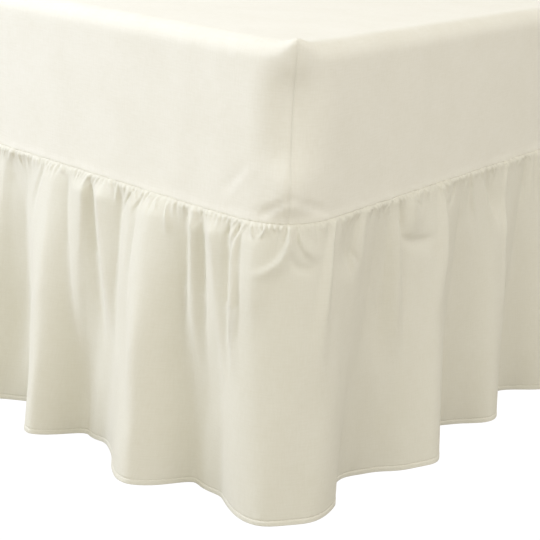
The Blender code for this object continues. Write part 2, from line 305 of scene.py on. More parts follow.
@dataclass(frozen=True)
class Creases:
    """Ridges and troughs on cloth, each along a bowed line that fades out.

    The table's columns are: along and down at the start, along and down at the
    end, how far the line's middle bows towards growing along, the half width
    on the side of lesser along, the half width on the other side, the height,
    which is above zero for a ridge, and how sharp its middle is, from 0 for
    rounded to 1 for a crisp crease.

    Along its line a crease's width goes from narrow to wide times the half
    width, and its height starts at low and is full at full_at.
    """

    table: np.ndarray
    around: float
    narrow: float = 0.60
    wide: float = 1.25
    low: float = 0.45
    full_at: float = 0.30
    fade: float = 0.50
    lead_in: float = 0.006

    def height(self, along: np.ndarray, down: np.ndarray) -> np.ndarray:
        """What all creases add to the reach of the cloth.

        For one line of length L, run is the share of it walked and aside the
        distance from it, less bow * 4 run (1 - run).  With t = |aside| / half,
        held to 1, the height is h (1 - t)^2 (1 + 2 t (1 - sharp)), times an
        ease in over the lead_in before the first point, a growth along the
        first share of the line and an ease out over its last share.

        Args:
            along: Places along the sewn line.
            down: Distances below it, of the same shape.

        Returns:
            Heights in metres.
        """
        total = np.zeros(np.broadcast(along, down).shape)
        for along0, down0, along1, down1, bow, left, right, height, sharp in self.table:
            length = math.hypot(along1 - along0, down1 - down0)
            ahead = ((along1 - along0) / length, (down1 - down0) / length)
            offset = wrap(along - along0, self.around)
            run = (offset * ahead[0] + (down - down0) * ahead[1]) / length
            held = np.clip(run, 0.0, 1.0)
            aside = offset * ahead[1] - (down - down0) * ahead[0]
            aside = aside - 4.0 * bow * held * (1.0 - held)
            half = np.where(aside < 0.0, left, right)
            half = half * (self.narrow + (self.wide - self.narrow) * held)
            away = np.minimum(np.abs(aside) / half, 1.0)
            across = (1.0 - away) ** 2 * (1.0 + 2.0 * away * (1.0 - sharp))
            grown = self.low + (1.0 - self.low) * smooth_step(run / self.full_at)
            started = smooth_step(run * length / self.lead_in + 1.0)
            faded = smooth_step((1.0 - run) / self.fade)
            total += height * across * grown * started * faded
        return total


@dataclass(frozen=True)
class Tucks:
    """Neighbouring tucks, each a rounded crest between two sharp valleys.

    The table's columns are: along at the sewn line, along at lean_depth below
    it, the height there of the crest or valley, and how far down it runs out.
    """

    table: np.ndarray
    around: float
    lean_depth: float = 0.30
    grown: float = 0.030
    roundness: float = 1.4
    fade: float = 0.50

    def height(self, along: np.ndarray, down: float) -> np.ndarray:
        """What the tucks add to the reach of the cloth at one distance down.

        With s the share of the way from a valley to the crest beside it, the
        height goes from the valley's to the crest's by 1 - (1 - s)^roundness.
        It grows over the first part below the stitches and fades over the
        last share of the tuck's length.

        Args:
            along: Places along the sewn line.
            down: Distance below it.

        Returns:
            Heights in metres.
        """
        top, low, heights, lengths = self.table.T
        places = top + (low - top) * down / self.lean_depth
        middle = 0.5 * (places[0] + places[-1])
        walked = wrap(along - middle, self.around) + middle
        after = np.clip(np.searchsorted(places, walked, side="right"), 1, len(places) - 1)
        before = after - 1
        gap = np.maximum(places[after] - places[before], LEAST_GAP)
        share = np.clip((walked - places[before]) / gap, 0.0, 1.0)
        rises = heights[after] >= heights[before]
        climbed = np.where(rises, share, 1.0 - share)
        blend = 1.0 - (1.0 - climbed) ** self.roundness
        valley = np.minimum(heights[after], heights[before])
        crest = np.maximum(heights[after], heights[before])
        length = lengths[before] + (lengths[after] - lengths[before]) * share
        faded = smooth_step((1.0 - down / length) / self.fade)
        started = smooth_step(np.array(down / self.grown))
        return (valley + (crest - valley) * blend) * started * faded


@dataclass(frozen=True)
class Gathers:
    """A row of uneven little humps under the stitches, side by side round the bed.

    Pitch, height and length are the least and most that are drawn.
    """

    around: float
    seed: int
    pitch: tuple[float, float]
    height: tuple[float, float]
    length: tuple[float, float]
    lean: float
    rise: float
    lean_wave: float = 0.09
    rise_start: float = 0.12

    def humps(self, along: np.ndarray, down: np.ndarray) -> np.ndarray:
        """Height of the humps.

        Hump number i fills the gap between two drawn places.  With s the share
        of the gap, it stands sin(pi s) high, times its drawn height, an ease
        in below the stitches and (1 - down / length)^2 with its drawn length.
        The humps lean to one side or the other in a slow wave.

        Args:
            along: Places along the sewn line.
            down: Distances below it, of the same shape.

        Returns:
            Heights in metres.
        """
        draw = np.random.default_rng(self.seed)
        count = round(self.around / (0.5 * sum(self.pitch)))
        gaps = draw.uniform(*self.pitch, count)
        places = np.concatenate([[0.0], np.cumsum(gaps)]) * (self.around / gaps.sum())
        heights = draw.uniform(*self.height, count)
        lengths = draw.uniform(*self.length, count)
        slant = self.lean * soft_noise(along, self.lean_wave, self.seed + 1, self.around)
        walked = np.mod(along - slant * down, self.around)
        number = np.clip(np.searchsorted(places, walked, side="right") - 1, 0, count - 1)
        share = (walked - places[number]) / (places[number + 1] - places[number])
        left = np.clip(1.0 - np.maximum(down, 0.0) / lengths[number], 0.0, 1.0) ** 2
        rise = smooth_step(down / self.rise + self.rise_start)
        return heights[number] * np.sin(math.pi * share) * left * rise


# ---------------------------------------------------------------- mesh making
def add_mesh(
    name: str, points: np.ndarray, faces: list, cloth_uv: np.ndarray | None = None
) -> bpy.types.Object:
    """A smooth-shaded object from points and faces.

    Args:
        name: Name of the piece.
        points: Points, one row of three each.
        faces: Lists of point numbers, facing out.
        cloth_uv: For each point, its place on the flat cloth in metres.

    Returns:
        The object, at the origin.
    """
    mesh = bpy.data.meshes.new(name)
    mesh.from_pydata(points.tolist(), [], faces)
    if cloth_uv is not None:
        corners = np.zeros(len(mesh.loops), np.int32)
        mesh.loops.foreach_get("vertex_index", corners)
        layer = mesh.uv_layers.new(name="cloth")
        layer.data.foreach_set("uv", cloth_uv[corners].astype(np.float32).ravel())
    mesh.shade_smooth()
    mesh.update()
    item = bpy.data.objects.new(name, mesh)
    bpy.context.scene.collection.objects.link(item)
    return item


def thicken(item: bpy.types.Object, thickness: float) -> None:
    """Give a sheet its thickness, inwards from the face that shows.

    Args:
        item: The sheet.
        thickness: Its thickness in metres.
    """
    wall = item.modifiers.new("thickness", "SOLIDIFY")
    wall.thickness = thickness
    wall.offset = -1.0
    wall.use_rim = True


def grid_faces(rows: np.ndarray) -> np.ndarray:
    """Quads of a grid of point numbers whose rows run downwards, facing out."""
    quads = np.stack([rows[:-1, :-1], rows[1:, :-1], rows[1:, 1:], rows[:-1, 1:]], axis=-1)
    return quads.reshape(-1, 4)


def unit(vectors: np.ndarray) -> np.ndarray:
    """The same vectors at length one; one of no length stays as it is."""
    return vectors / np.maximum(np.linalg.norm(vectors, axis=-1, keepdims=True), NO_LENGTH)


# --------------------------------------------------------------------- frill
# Crests and valleys on both sides of the seen corner: along at the sewn line,
# along at the hem, and how far the hem stands out.
SEEN_FOLDS = (
    (-0.590, -0.560, 0.098),
    (-0.506, -0.468, 0.022),
    (-0.425, -0.378, 0.104),
    (-0.352, -0.328, 0.028),
    (-0.310, -0.300, 0.029),
    (-0.215, -0.174, 0.100),
    (-0.150, -0.116, 0.015),
    (-0.095, -0.071, 0.016),
    (-0.040, -0.006, 0.067),
    (0.055, 0.018, 0.064),
    (0.180, 0.126, 0.007),
    (0.318, 0.252, 0.087),
    (0.390, 0.352, 0.014),
    (0.500, 0.438, 0.078),
    (0.575, 0.535, 0.020),
    (0.640, 0.610, 0.090),
)

# The crest and valley just beyond the left edge of the view, with the same
# columns.  They take the place of the two that are drawn there.
EDGE_FOLDS = (
    (-0.800, -0.785, 0.080),
    (-0.680, -0.655, 0.026),
)

# Tucks beside the seen corner, with the columns of Tucks.
SEEN_TUCKS = (
    (-0.572, -0.560, 0.0000, 0.40),
    (-0.496, -0.490, -0.0060, 0.40),
    (-0.421, -0.396, 0.0040, 0.30),
    (-0.398, -0.345, -0.0035, 0.30),
    (-0.357, -0.337, 0.0125, 0.30),
    (-0.350, -0.289, -0.0020, 0.27),
    (-0.325, -0.268, 0.0150, 0.24),
    (-0.285, -0.262, -0.0040, 0.26),
    (-0.254, -0.238, 0.0070, 0.20),
    (-0.243, -0.226, 0.0045, 0.20),
    (-0.221, -0.190, 0.0110, 0.34),
    (-0.158, -0.141, -0.0060, 0.28),
    (-0.145, -0.120, 0.0115, 0.26),
    (-0.129, -0.100, -0.0015, 0.27),
    (-0.110, -0.052, 0.0140, 0.25),
    (-0.084, -0.044, -0.0005, 0.24),
    (-0.070, -0.038, 0.0100, 0.23),
    (-0.060, -0.032, 0.0020, 0.12),
    (-0.040, -0.022, 0.0060, 0.16),
    (-0.012, -0.012, 0.0000, 0.12),
)

# Smaller folds of the seen corner, with the columns of Creases.
SEEN_CREASES = (
    # On the fold at the left edge of the view and on the one next to it.
    (-0.540, 0.000, -0.512, 0.360, -0.006, 0.030, 0.024, 0.0040, 0.3),
    (-0.519, 0.000, -0.492, 0.075, -0.006, 0.032, 0.014, -0.0070, 0.8),
    (-0.512, 0.004, -0.498, 0.040, 0.000, 0.005, 0.006, 0.0030, 0.4),
    (-0.442, 0.000, -0.468, 0.100, -0.003, 0.011, 0.010, -0.0034, 0.3),
    # Short creases under the stitches of the long side.
    (-0.292, 0.000, -0.290, 0.034, 0.000, 0.005, 0.005, 0.0030, 0.2),
    (-0.255, 0.000, -0.285, 0.050, 0.000, 0.006, 0.005, -0.0045, 0.8),
    (-0.235, 0.000, -0.251, 0.042, 0.000, 0.006, 0.007, -0.0032, 0.6),
    (-0.213, 0.000, -0.204, 0.022, 0.000, 0.004, 0.004, 0.0026, 0.3),
    (-0.194, 0.000, -0.180, 0.052, 0.000, 0.005, 0.007, 0.0040, 0.5),
    (-0.077, 0.000, -0.085, 0.034, 0.000, 0.004, 0.004, -0.0030, 0.8),
    (-0.060, 0.000, -0.078, 0.070, 0.000, 0.006, 0.007, -0.0040, 0.5),
    # The curved folds under the corner seam.
    (-0.046, 0.001, -0.037, 0.022, -0.002, 0.003, 0.003, 0.0034, 0.3),
    (-0.026, 0.001, -0.035, 0.022, 0.002, 0.003, 0.003, 0.0034, 0.3),
    (-0.019, 0.000, -0.015, 0.018, 0.000, 0.004, 0.004, -0.0036, 0.9),
    (0.001, 0.000, -0.052, 0.072, 0.020, 0.006, 0.020, 0.0060, 0.5),
    (0.002, 0.004, 0.021, 0.050, -0.005, 0.006, 0.009, 0.0022, 0.3),
    (0.014, 0.000, 0.048, 0.052, -0.012, 0.006, 0.016, 0.0052, 0.4),
    (0.003, 0.043, 0.042, 0.055, -0.010, 0.014, 0.010, -0.0030, 0.4),
    # The edge of the corner's front and the hollow beyond it.
    (0.071, 0.000, 0.040, 0.240, -0.011, 0.018, 0.010, 0.0076, 0.6),
    (0.131, 0.000, 0.104, 0.100, -0.007, 0.046, 0.011, -0.0135, 0.7),
    (0.140, 0.000, 0.126, 0.110, -0.004, 0.014, 0.020, 0.0045, 0.4),
    (0.108, 0.050, 0.122, 0.080, 0.003, 0.006, 0.005, -0.0030, 0.5),
    (0.192, 0.000, 0.182, 0.260, 0.000, 0.046, 0.020, -0.0115, 0.6),
    (0.214, 0.000, 0.209, 0.260, 0.000, 0.022, 0.012, 0.0085, 0.5),
    # The pocket whose lower lip hangs over a bent trough.
    (0.220, 0.000, 0.224, 0.064, 0.000, 0.010, 0.014, -0.0075, 0.7),
    (0.219, 0.056, 0.312, 0.072, -0.010, 0.024, 0.012, -0.0042, 0.4),
    (0.250, 0.000, 0.246, 0.070, 0.000, 0.026, 0.040, 0.0060, 0.3),
    (0.250, 0.012, 0.280, 0.028, 0.000, 0.007, 0.006, -0.0012, 0.3),
    (0.326, 0.000, 0.286, 0.200, 0.013, 0.030, 0.012, 0.0084, 0.5),
    # The tucks between the two far folds.
    (0.366, 0.000, 0.334, 0.042, 0.012, 0.009, 0.006, -0.0055, 0.6),
    (0.408, 0.000, 0.414, 0.100, 0.000, 0.020, 0.012, -0.0034, 0.4),
    (0.412, 0.000, 0.424, 0.080, 0.000, 0.005, 0.006, 0.0034, 0.4),
    (0.454, 0.000, 0.488, 0.110, 0.000, 0.020, 0.060, -0.0110, 0.5),
    (0.516, 0.000, 0.478, 0.320, -0.006, 0.015, 0.009, 0.0066, 0.6),
    (0.580, 0.000, 0.570, 0.095, 0.003, 0.010, 0.008, -0.0060, 0.6),
    (0.600, 0.000, 0.592, 0.100, 0.000, 0.009, 0.010, 0.0030, 0.3),
)


@dataclass
class Frill:
    """The gathered frill: strips of cloth sewn end to end, hung from the sewn line."""

    outline: Outline
    sewn_height: float = 0.4135
    drop: float = 0.4025
    fullness: float = 1.45
    thickness: float = 0.9 * MILLIMETRE
    # How the main folds open from the sewn line to the hem.
    opening_power: float = 0.86
    crispness: float = 1.4
    relaxed_at: float = 0.90
    least_reach: float = 2.0 * MILLIMETRE
    # How the cloth leaves the stitches: the folds start within stitched, the
    # creases within pressed, and the lift of the line is gone at settled.
    stitched: float = 0.010
    pressed: float = 0.004
    settled: float = 0.25
    tuck: float = 1.7 * MILLIMETRE
    tuck_eased: float = 3.0 * MILLIMETRE
    tuck_up: float = 3.0 * MILLIMETRE
    # The hem: a puffed band and a groove that waves where the thread pulls.
    hem_depth: float = 7.0 * MILLIMETRE
    hem_puff: float = 0.5 * MILLIMETRE
    hem_puff_edge: float = 2.0 * MILLIMETRE
    hem_groove: float = 0.7 * MILLIMETRE
    hem_groove_half: float = 0.9 * MILLIMETRE
    thread_pull: float = 0.35
    thread_pull_wave: float = 0.016
    stitch_pitch: float = 3.2 * MILLIMETRE
    stitch_reach: float = 0.4
    stitch_span: float = 0.6 * MILLIMETRE
    # A slow wave that grows towards the hem, and how much it leans on its way.
    wave_height: float = 1.3 * MILLIMETRE
    wave_length: float = 0.075
    wave_lean: float = 0.15
    # Rows of the mesh, in millimetres: single ones below the sewn line, even
    # ones below it by first, end and step, how many there are in the plain part
    # and the gaps over and under it, and those of the hem over its edge.  Then
    # how many columns are joined in each of the three bands of rows.
    first_rows: tuple[float, ...] = (0.0, 0.7, 1.5)
    gather_rows: tuple[float, float, float] = (3.0, 27.0, 2.0)
    tuck_rows: tuple[float, float, float] = (29.0, 112.0, 4.6)
    plain_rows: int = 35
    plain_gaps: tuple[float, float] = (7.5, 7.0)
    hem_rows: tuple[float, ...] = (10.5, 9.0, 8.0, 7.5, 7.0, 6.5, 6.0, 5.0, 3.5, 2.0, 0.8, 0.0)
    joins: tuple[int, int, int] = (1, 2, 4)
    # The least and most of what is drawn for the folds out of sight.
    fold_spacing: tuple[float, float] = (0.165, 0.225)
    crest_reach: tuple[float, float] = (0.074, 0.102)
    valley_reach: tuple[float, float] = (0.010, 0.030)
    valley_place: tuple[float, float] = (0.42, 0.58)
    fold_drift: float = 0.022
    small_per_fold: int = 3
    small_length: tuple[float, float] = (0.060, 0.220)
    small_half: tuple[float, float] = (0.016, 0.024)
    small_height: tuple[float, float] = (0.007, 0.012)
    small_sharpness: float = 0.3
    # Name, along at both ends and width of a column of each strip.
    strips: tuple[tuple[str, float, float, float], ...] = (
        ("frill_corner_strip", -0.760, 0.800, 1.25 * MILLIMETRE),
        ("frill_side_strip", 0.800, 3.230, 2.60 * MILLIMETRE),
        ("frill_end_strip", 3.230, 5.660, 2.60 * MILLIMETRE),
    )
    folds: np.ndarray = field(init=False)
    creases: Creases = field(init=False)
    tucks: Tucks = field(init=False)
    gathers: tuple[Gathers, ...] = field(init=False)

    def __post_init__(self) -> None:
        """Work out the folds of the whole frill, the seen ones first."""
        around = self.outline.around
        self.folds, small = self.draw_folds()
        self.creases = Creases(small, around)
        self.tucks = Tucks(np.array(SEEN_TUCKS), around)
        self.gathers = (
            Gathers(
                around, Seed.FINE_GATHERS, pitch=(0.005, 0.011), height=(0.0024, 0.0052),
                length=(0.012, 0.030), lean=0.5, rise=0.0072,
            ),
            Gathers(
                around, Seed.BROAD_GATHERS, pitch=(0.012, 0.027), height=(0.0016, 0.0042),
                length=(0.022, 0.070), lean=0.3, rise=0.0080,
            ),
        )

    def draw_folds(self) -> tuple[np.ndarray, np.ndarray]:
        """Main folds and smaller folds all round, with the unseen ones drawn.

        Past the seen folds a valley and a crest are drawn in turn, with a few
        smaller folds between two crests, from the seed that the solids use.
        EDGE_FOLDS then take the place of the last two.

        Returns:
            The table of main folds and the table of creases.
        """
        draw = np.random.default_rng(Seed.FOLDS)
        main = list(SEEN_FOLDS)
        small = list(SEEN_CREASES)
        position = SEEN_FOLDS[-1][1]
        last = self.outline.around + SEEN_FOLDS[0][1]
        count = round((last - position) / (0.5 * sum(self.fold_spacing)))
        steps = draw.uniform(*self.fold_spacing, count)
        steps *= (last - position) / steps.sum()
        for index, step in enumerate(steps):
            lean = draw.uniform(-self.fold_drift, self.fold_drift)
            valley = position + step * draw.uniform(*self.valley_place)
            main.append((valley + lean, valley, draw.uniform(*self.valley_reach)))
            for _ in range(self.small_per_fold):
                upper = position + step * draw.uniform(0.0, 1.0)
                slant = draw.uniform(-self.fold_drift, self.fold_drift)
                length = draw.uniform(*self.small_length)
                half = draw.uniform(*self.small_half)
                height = draw.uniform(*self.small_height)
                line = (upper, 0.0, upper + slant, length, 0.0)
                small.append((*line, half, half, height, self.small_sharpness))
            position += step
            if index < count - 1:
                lean = draw.uniform(-self.fold_drift, self.fold_drift)
                main.append((position + lean, position, draw.uniform(*self.crest_reach)))
        round_bed = np.array([self.outline.around, self.outline.around, 0.0])
        main[-len(EDGE_FOLDS):] = list(np.array(EDGE_FOLDS) + round_bed)
        return np.array(main), np.array(small)

    def main_reach(self, along: np.ndarray, down: float) -> np.ndarray:
        """How far the main folds carry the cloth out, at one distance down.

        Between a valley and the crest beside it, it goes from one hem reach
        to the other, times (down / drop)^opening_power.  At the hem it goes
        by the smooth step of the share s of the way, and higher up more and
        more by 1 - (1 - s)^crispness, which leaves the valley sharp.

        Args:
            along: Places along the sewn line.
            down: Distance below it.

        Returns:
            Reach in metres.
        """
        around = self.outline.around
        share = max(down, 0.0) / self.drop
        places = self.folds[:, 0] + (self.folds[:, 1] - self.folds[:, 0]) * share
        places = np.maximum.accumulate(places)
        places = np.concatenate([places, [places[0] + around]])
        reaches = np.concatenate([self.folds[:, 2], self.folds[:1, 2]])
        walked = places[0] + np.mod(along - places[0], around)
        after = np.clip(np.searchsorted(places, walked, side="right"), 1, len(places) - 1)
        before = after - 1
        between = (walked - places[before]) / np.maximum(places[after] - places[before], LEAST_GAP)
        rises = reaches[after] >= reaches[before]
        climbed = np.where(rises, between, 1.0 - between)
        crisp = 1.0 - (1.0 - climbed) ** self.crispness
        relaxed = smooth_step(share / self.relaxed_at)
        blend = crisp + (smooth_step(climbed) - crisp) * relaxed
        valley = np.minimum(reaches[before], reaches[after])
        crest = np.maximum(reaches[before], reaches[after])
        return (valley + (crest - valley) * blend) * share**self.opening_power

    def hem_relief(self, along: np.ndarray, down: float) -> np.ndarray:
        """The hem's puffed band and the groove of its stitches.

        The band stands proud below the line of stitches by an eased step, and
        the groove is a rounded trough along that line, deeper and shallower in
        a wave where the thread pulls.

        Args:
            along: Places along the sewn line.
            down: Distance below it.

        Returns:
            Heights in metres.
        """
        over_hem = self.drop - down
        waves = soft_noise(along, self.thread_pull_wave, Seed.THREAD_PULL, self.outline.around)
        band = self.hem_puff * smooth_step((self.hem_depth - over_hem) / self.hem_puff_edge)
        groove = self.hem_groove * bell(np.array(over_hem - self.hem_depth), self.hem_groove_half)
        return band - groove * (1.0 + self.thread_pull * waves)

    def row(self, along: np.ndarray, down: float) -> np.ndarray:
        """Points of the outer face at one distance down.

        With r the reach of the main folds, a point lies r and the small
        reliefs out from the sewn line and sqrt(down^2 - r^2) below it, so that
        the cloth keeps its length from the sewn line to the hem.  The small
        reliefs are the tucks, the creases, the gathers, a slow wave and the
        hem's own, less the tuck by which the cloth goes in at the stitches.
        Where the sewn line is lifted, the cloth near it is lifted too.

        Args:
            along: Places along the sewn line.
            down: Distance below it; below zero it is tucked up in the cover.

        Returns:
            Points, one row of three each.
        """
        line, outward = self.outline.walk(along)
        around = self.outline.around
        eased = smooth_step(down / self.stitched)
        reach = self.main_reach(along, down) * eased
        fall = math.copysign(1.0, down) * np.sqrt(np.maximum(down * down - reach * reach, 0.0))
        depth = np.full_like(along, down)
        reach = reach + self.tucks.height(along, max(down, 0.0))
        reach = reach + self.creases.height(along, depth) * smooth_step(down / self.pressed)
        # A rounded cut at zero: the mean of the reach and of sqrt(reach^2 + least^2).
        reach = 0.5 * (np.sqrt(reach * reach + self.least_reach**2) + reach)
        for gathers in self.gathers:
            reach = reach + gathers.humps(along, depth)
        grown = self.wave_height * max(down, 0.0) / self.drop
        leaning = along + self.wave_lean * down
        reach = reach + grown * soft_noise(leaning, self.wave_length, Seed.FRILL_WAVE, around)
        reach = reach + self.hem_relief(along, down)
        reach = reach - self.tuck * (1.0 - smooth_step(down / self.tuck_eased))
        points = line + outward * reach[:, None]
        lift = SewnLine(around).lift(along) * smooth_step(1.0 - max(down, 0.0) / self.settled)
        return np.column_stack([points, self.sewn_height - fall + lift])

    def row_bands(self) -> list[tuple[np.ndarray, int]]:
        """Rows of the mesh, close together at the gathers and at the hem.

        Returns:
            For each band, the distances down of its rows and how many columns
            are joined in it.
        """
        hem = self.drop - np.array(self.hem_rows) * MILLIMETRE
        first = np.array(self.first_rows) * MILLIMETRE
        upper = np.concatenate([[-self.tuck_up], first, np.arange(*self.gather_rows) * MILLIMETRE])
        middle = np.arange(*self.tuck_rows) * MILLIMETRE
        over, under = (gap * MILLIMETRE for gap in self.plain_gaps)
        plain = np.linspace(middle[-1] + over, hem[0] - under, self.plain_rows)
        return list(zip((upper, middle, np.concatenate([plain, hem])), self.joins))

    def build_strip(self, name: str, start: float, end: float, column: float) -> bpy.types.Object:
        """Mesh of one strip, with half as many columns in each lower band.

        Where a band starts, each of its cells has one point more on its upper
        edge, so that no gap opens between the bands.

        Args:
            name: Name of the piece.
            start: Along at its first edge.
            end: Along at its last edge.
            column: Width of a column at the gathers.

        Returns:
            The strip, with its thickness.
        """
        cells = self.joins[-1] * round((end - start) / (self.joins[-1] * column))
        along = np.linspace(start, end, cells + 1)
        points, places, faces = [], [], []
        first, above, above_step = 0, None, 0
        for downs, step in self.row_bands():
            for down in downs:
                columns = along[::step]
                points.append(self.row(columns, float(down)))
                flat_down = np.full_like(columns, -down)
                places.append(np.column_stack([columns * self.fullness, flat_down]))
                numbers = first + np.arange(len(columns))
                first += len(columns)
                if above is not None and above_step == step:
                    faces.extend(grid_faces(np.array([above, numbers])).tolist())
                elif above is not None:
                    lower = (numbers[:-1], numbers[1:])
                    joined = np.stack([above[:-1:2], *lower, above[2::2], above[1::2]], axis=-1)
                    faces.extend(joined.tolist())
                above, above_step = numbers, step
        item = add_mesh(name, np.concatenate(points), faces, np.concatenate(places))
        thicken(item, self.thickness)
        return item

    def stitch_line(self) -> tuple[np.ndarray, np.ndarray, np.ndarray]:
        """Where the hem's stitches lie.

        The direction is that to a point a little further along the hem, and
        the normal is square to it and to the cloth's slope across the stitch.

        Returns:
            Middles, directions and normals of the stitches.
        """
        down = self.drop - self.hem_depth
        count = round(self.outline.around / self.stitch_pitch)
        along = np.arange(count) * (self.outline.around / count)
        here = self.row(along, down)
        ahead = unit(self.row(along + self.stitch_reach * self.stitch_pitch, down) - here)
        higher = self.row(along, down - self.stitch_span)
        below = unit(self.row(along, down + self.stitch_span) - higher)
        return here, ahead, unit(np.cross(below, ahead))

    def build(self, finish: bpy.types.Material) -> list[bpy.types.Object]:
        """Make and dress every strip, hide the CAD frill, and attach each strip to the root.

        Args:
            finish: The cloth's material; for the frill, a darker copy of the cover's cotton that
                paints its shade.

        Returns:
            The strips.
        """
        made = []
        for name, start, end, column in self.strips:
            item = self.build_strip(name, start, end, column)
            item.data.materials.append(finish)
            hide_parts("frill")
            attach(item, "root")
            LOG.info("%s: %d points", name, len(item.data.vertices))
            made.append(item)
        return made


# --------------------------------------------------------------------- cover
# Pulls in the cover's sides near the seen corner, with the columns of Creases;
# down is below zero here, because they lie over the sewn line.
COVER_PULLS = (
    (-0.060, -0.070, -0.115, -0.012, 0.000, 0.010, 0.010, -0.0015, 0.3),
    (-0.044, -0.074, -0.096, -0.012, 0.000, 0.010, 0.010, 0.0010, 0.3),
    (0.000, -0.034, -0.042, -0.004, 0.000, 0.011, 0.009, -0.0034, 0.6),
    (0.000, -0.034, 0.072, -0.004, 0.000, 0.009, 0.012, -0.0034, 0.6),
)

# Slow waves of the cover's top: radians per metre in x and in y, phase and
# strength.
TOP_WAVES = (
    (5.1, 2.3, 0.4, 1.0),
    (-6.7, 3.1, 1.9, 0.7),
    (3.0, 11.0, 0.0, 0.5),
)


@dataclass
class FittedCover:
    """The smooth cover: one cloth with a sewn seam at each corner.

    The puckers are the frill's fine gathers, which carry on over the sewn line.
    """

    outline: Outline
    puckers: Gathers
    sewn_height: float = 0.4135
    depth: float = 0.230
    edge_radius: float = 0.025
    corner_edge_radius: float = 0.007
    corner_edge_half: float = 0.024
    thickness: float = 0.9 * MILLIMETRE
    # The hollow where the seam is drawn in, half way up each corner.
    hollow: float = 0.0072
    hollow_height: float = 0.150
    hollow_half_height: float = 0.050
    hollow_half_width: float = 0.028
    # The peak over each corner: how far the apex lies in from the corner, and
    # how much of the side's height rises with it.
    peak: float = 0.007
    peak_half: float = 0.030
    peak_inset: float = 0.004
    peak_rise: float = 0.035
    # The tighter corner under the hollow and over it, as shares of a corner of
    # the tight radius, with the heights over which it comes and goes.
    tight_radius: float = 0.030
    tight_below: float = 0.45
    tight_above: float = 0.35
    tight_start: float = 0.028
    tight_height: float = 0.100
    tight_fade: float = 0.050
    tight_again: float = 0.170
    tight_again_rise: float = 0.045
    # The corner seam's groove and the allowance pressed to one side of it.
    seam_groove: float = 0.6 * MILLIMETRE
    seam_half: float = 0.9 * MILLIMETRE
    allowance: float = 0.45 * MILLIMETRE
    allowance_width: float = 10.0 * MILLIMETRE
    allowance_edge: float = 2.0 * MILLIMETRE
    allowance_fold: float = 1.5 * MILLIMETRE
    # The ridge over the sewn line's own allowance, and how far the edge turns
    # in at the line.
    ridge: float = 0.3 * MILLIMETRE
    ridge_top: float = 9.0 * MILLIMETRE
    ridge_fade: float = 5.0 * MILLIMETRE
    turned_in: float = 0.3 * MILLIMETRE
    turned_in_over: float = 1.4 * MILLIMETRE
    # The puckers: where they are read off the gathers, where they end, how fast
    # they fade, and what share of them goes out and down.
    pucker_at: float = 0.004
    pucker_top: float = 12.0 * MILLIMETRE
    pucker_fade: float = 10.0 * MILLIMETRE
    pucker_out: float = 0.35
    pucker_down: float = 0.5
    # Slow waves of the sides and of the top, and where they start; then how far
    # up the cloth rides with the sewn line.
    wave_height: float = 0.5 * MILLIMETRE
    wave_length: float = 0.11
    wave_start: float = 0.03
    top_wave: float = 0.9 * MILLIMETRE
    top_wave_start: float = 0.15
    line_pull: float = 0.12
    # The mesh: the spacing of its columns at the seen corner, at the next one
    # and at most, and its rows, the lowest in millimetres over the sewn line.
    columns: tuple[float, float, float] = (1.2 * MILLIMETRE, 3.0 * MILLIMETRE, 16.0 * MILLIMETRE)
    column_growth: float = 0.065
    side_rows: int = 34
    edge_rows: int = 8
    low_rows: tuple[float, ...] = (14.0, 9.0, 6.0, 4.0, 2.5, 1.2, 0.5, 0.0)
    top_uv_shift: float = 2.0
    # The stitches of the corner seams: their first and last height, pitch and
    # distance from the seam.
    stitches_from: float = 0.004
    stitches_below_top: float = 0.012
    stitch_pitch: float = 2.6 * MILLIMETRE
    stitch_aside: float = 1.6 * MILLIMETRE

    def spacing(self, step: float) -> np.ndarray:
        """Columns from one corner's middle to the next, closest at the seen corner."""
        return spread(step, *self.columns, self.column_growth)

    def ring_places(self) -> tuple[np.ndarray, int, int]:
        """Columns of the mesh round the bed.

        Opposite sides have the same spacing, so that the top's grid fits both.

        Returns:
            Along of every column, and the numbers of cells across and
            lengthwise.
        """
        lengthwise = self.spacing(self.outline.long_step)
        across = self.spacing(self.outline.short_step)
        far_side = self.outline.long_step + self.outline.short_step
        places = np.concatenate([
            lengthwise[:-1],
            self.outline.long_step + (across[-1] - across[::-1])[:-1],
            far_side + (lengthwise[-1] - lengthwise[::-1])[:-1],
            self.outline.around - across[::-1][:-1],
        ])
        return places, len(across) - 1, len(lengthwise) - 1

    def relief(self, along: np.ndarray, up: np.ndarray, on_top: np.ndarray) -> np.ndarray:
        """How far the cloth stands out from a plain rounded block.

        It is the sum of the hollow under each top corner, the tighter corner
        over and under it, the groove and pressed allowance of the corner seam,
        the pulls near the seen corner, the ridge over the seam allowance at
        the sewn line, and a slow wave.

        Args:
            along: Places along the sewn line.
            up: Heights over it.
            on_top: 0 on the side, growing to 1 where the edge meets the top.

        Returns:
            Distances outwards in metres.
        """
        away = self.outline.corner_offset(along)
        around = self.outline.around
        hollow = self.hollow * bell(away, self.hollow_half_width)
        hollow = hollow * bell(up - self.hollow_height, self.hollow_half_height)
        low = smooth_step(up / self.tight_start)
        low = low * smooth_step((self.tight_height - up) / self.tight_fade)
        high = smooth_step((up - self.tight_again) / self.tight_again_rise)
        tight = self.corner_fill(away) * (self.tight_below * low + self.tight_above * high)
        seam = self.seam_groove * bell(away, self.seam_half)
        pressed = smooth_step((away + self.allowance_width) / self.allowance_edge)
        pressed = self.allowance * pressed * smooth_step(-away / self.allowance_fold)
        pulls = Creases(np.array(COVER_PULLS), around).height(along, -up)
        ridge = self.ridge * smooth_step((self.ridge_top - up) / self.ridge_fade)
        wave = soft_noise(along, self.wave_length, Seed.COVER_WAVE, around)
        wave = self.wave_height * wave * smooth_step(up / self.wave_start)
        out = tight - hollow - seam + pressed + pulls + ridge + wave
        return out * (1.0 - on_top)

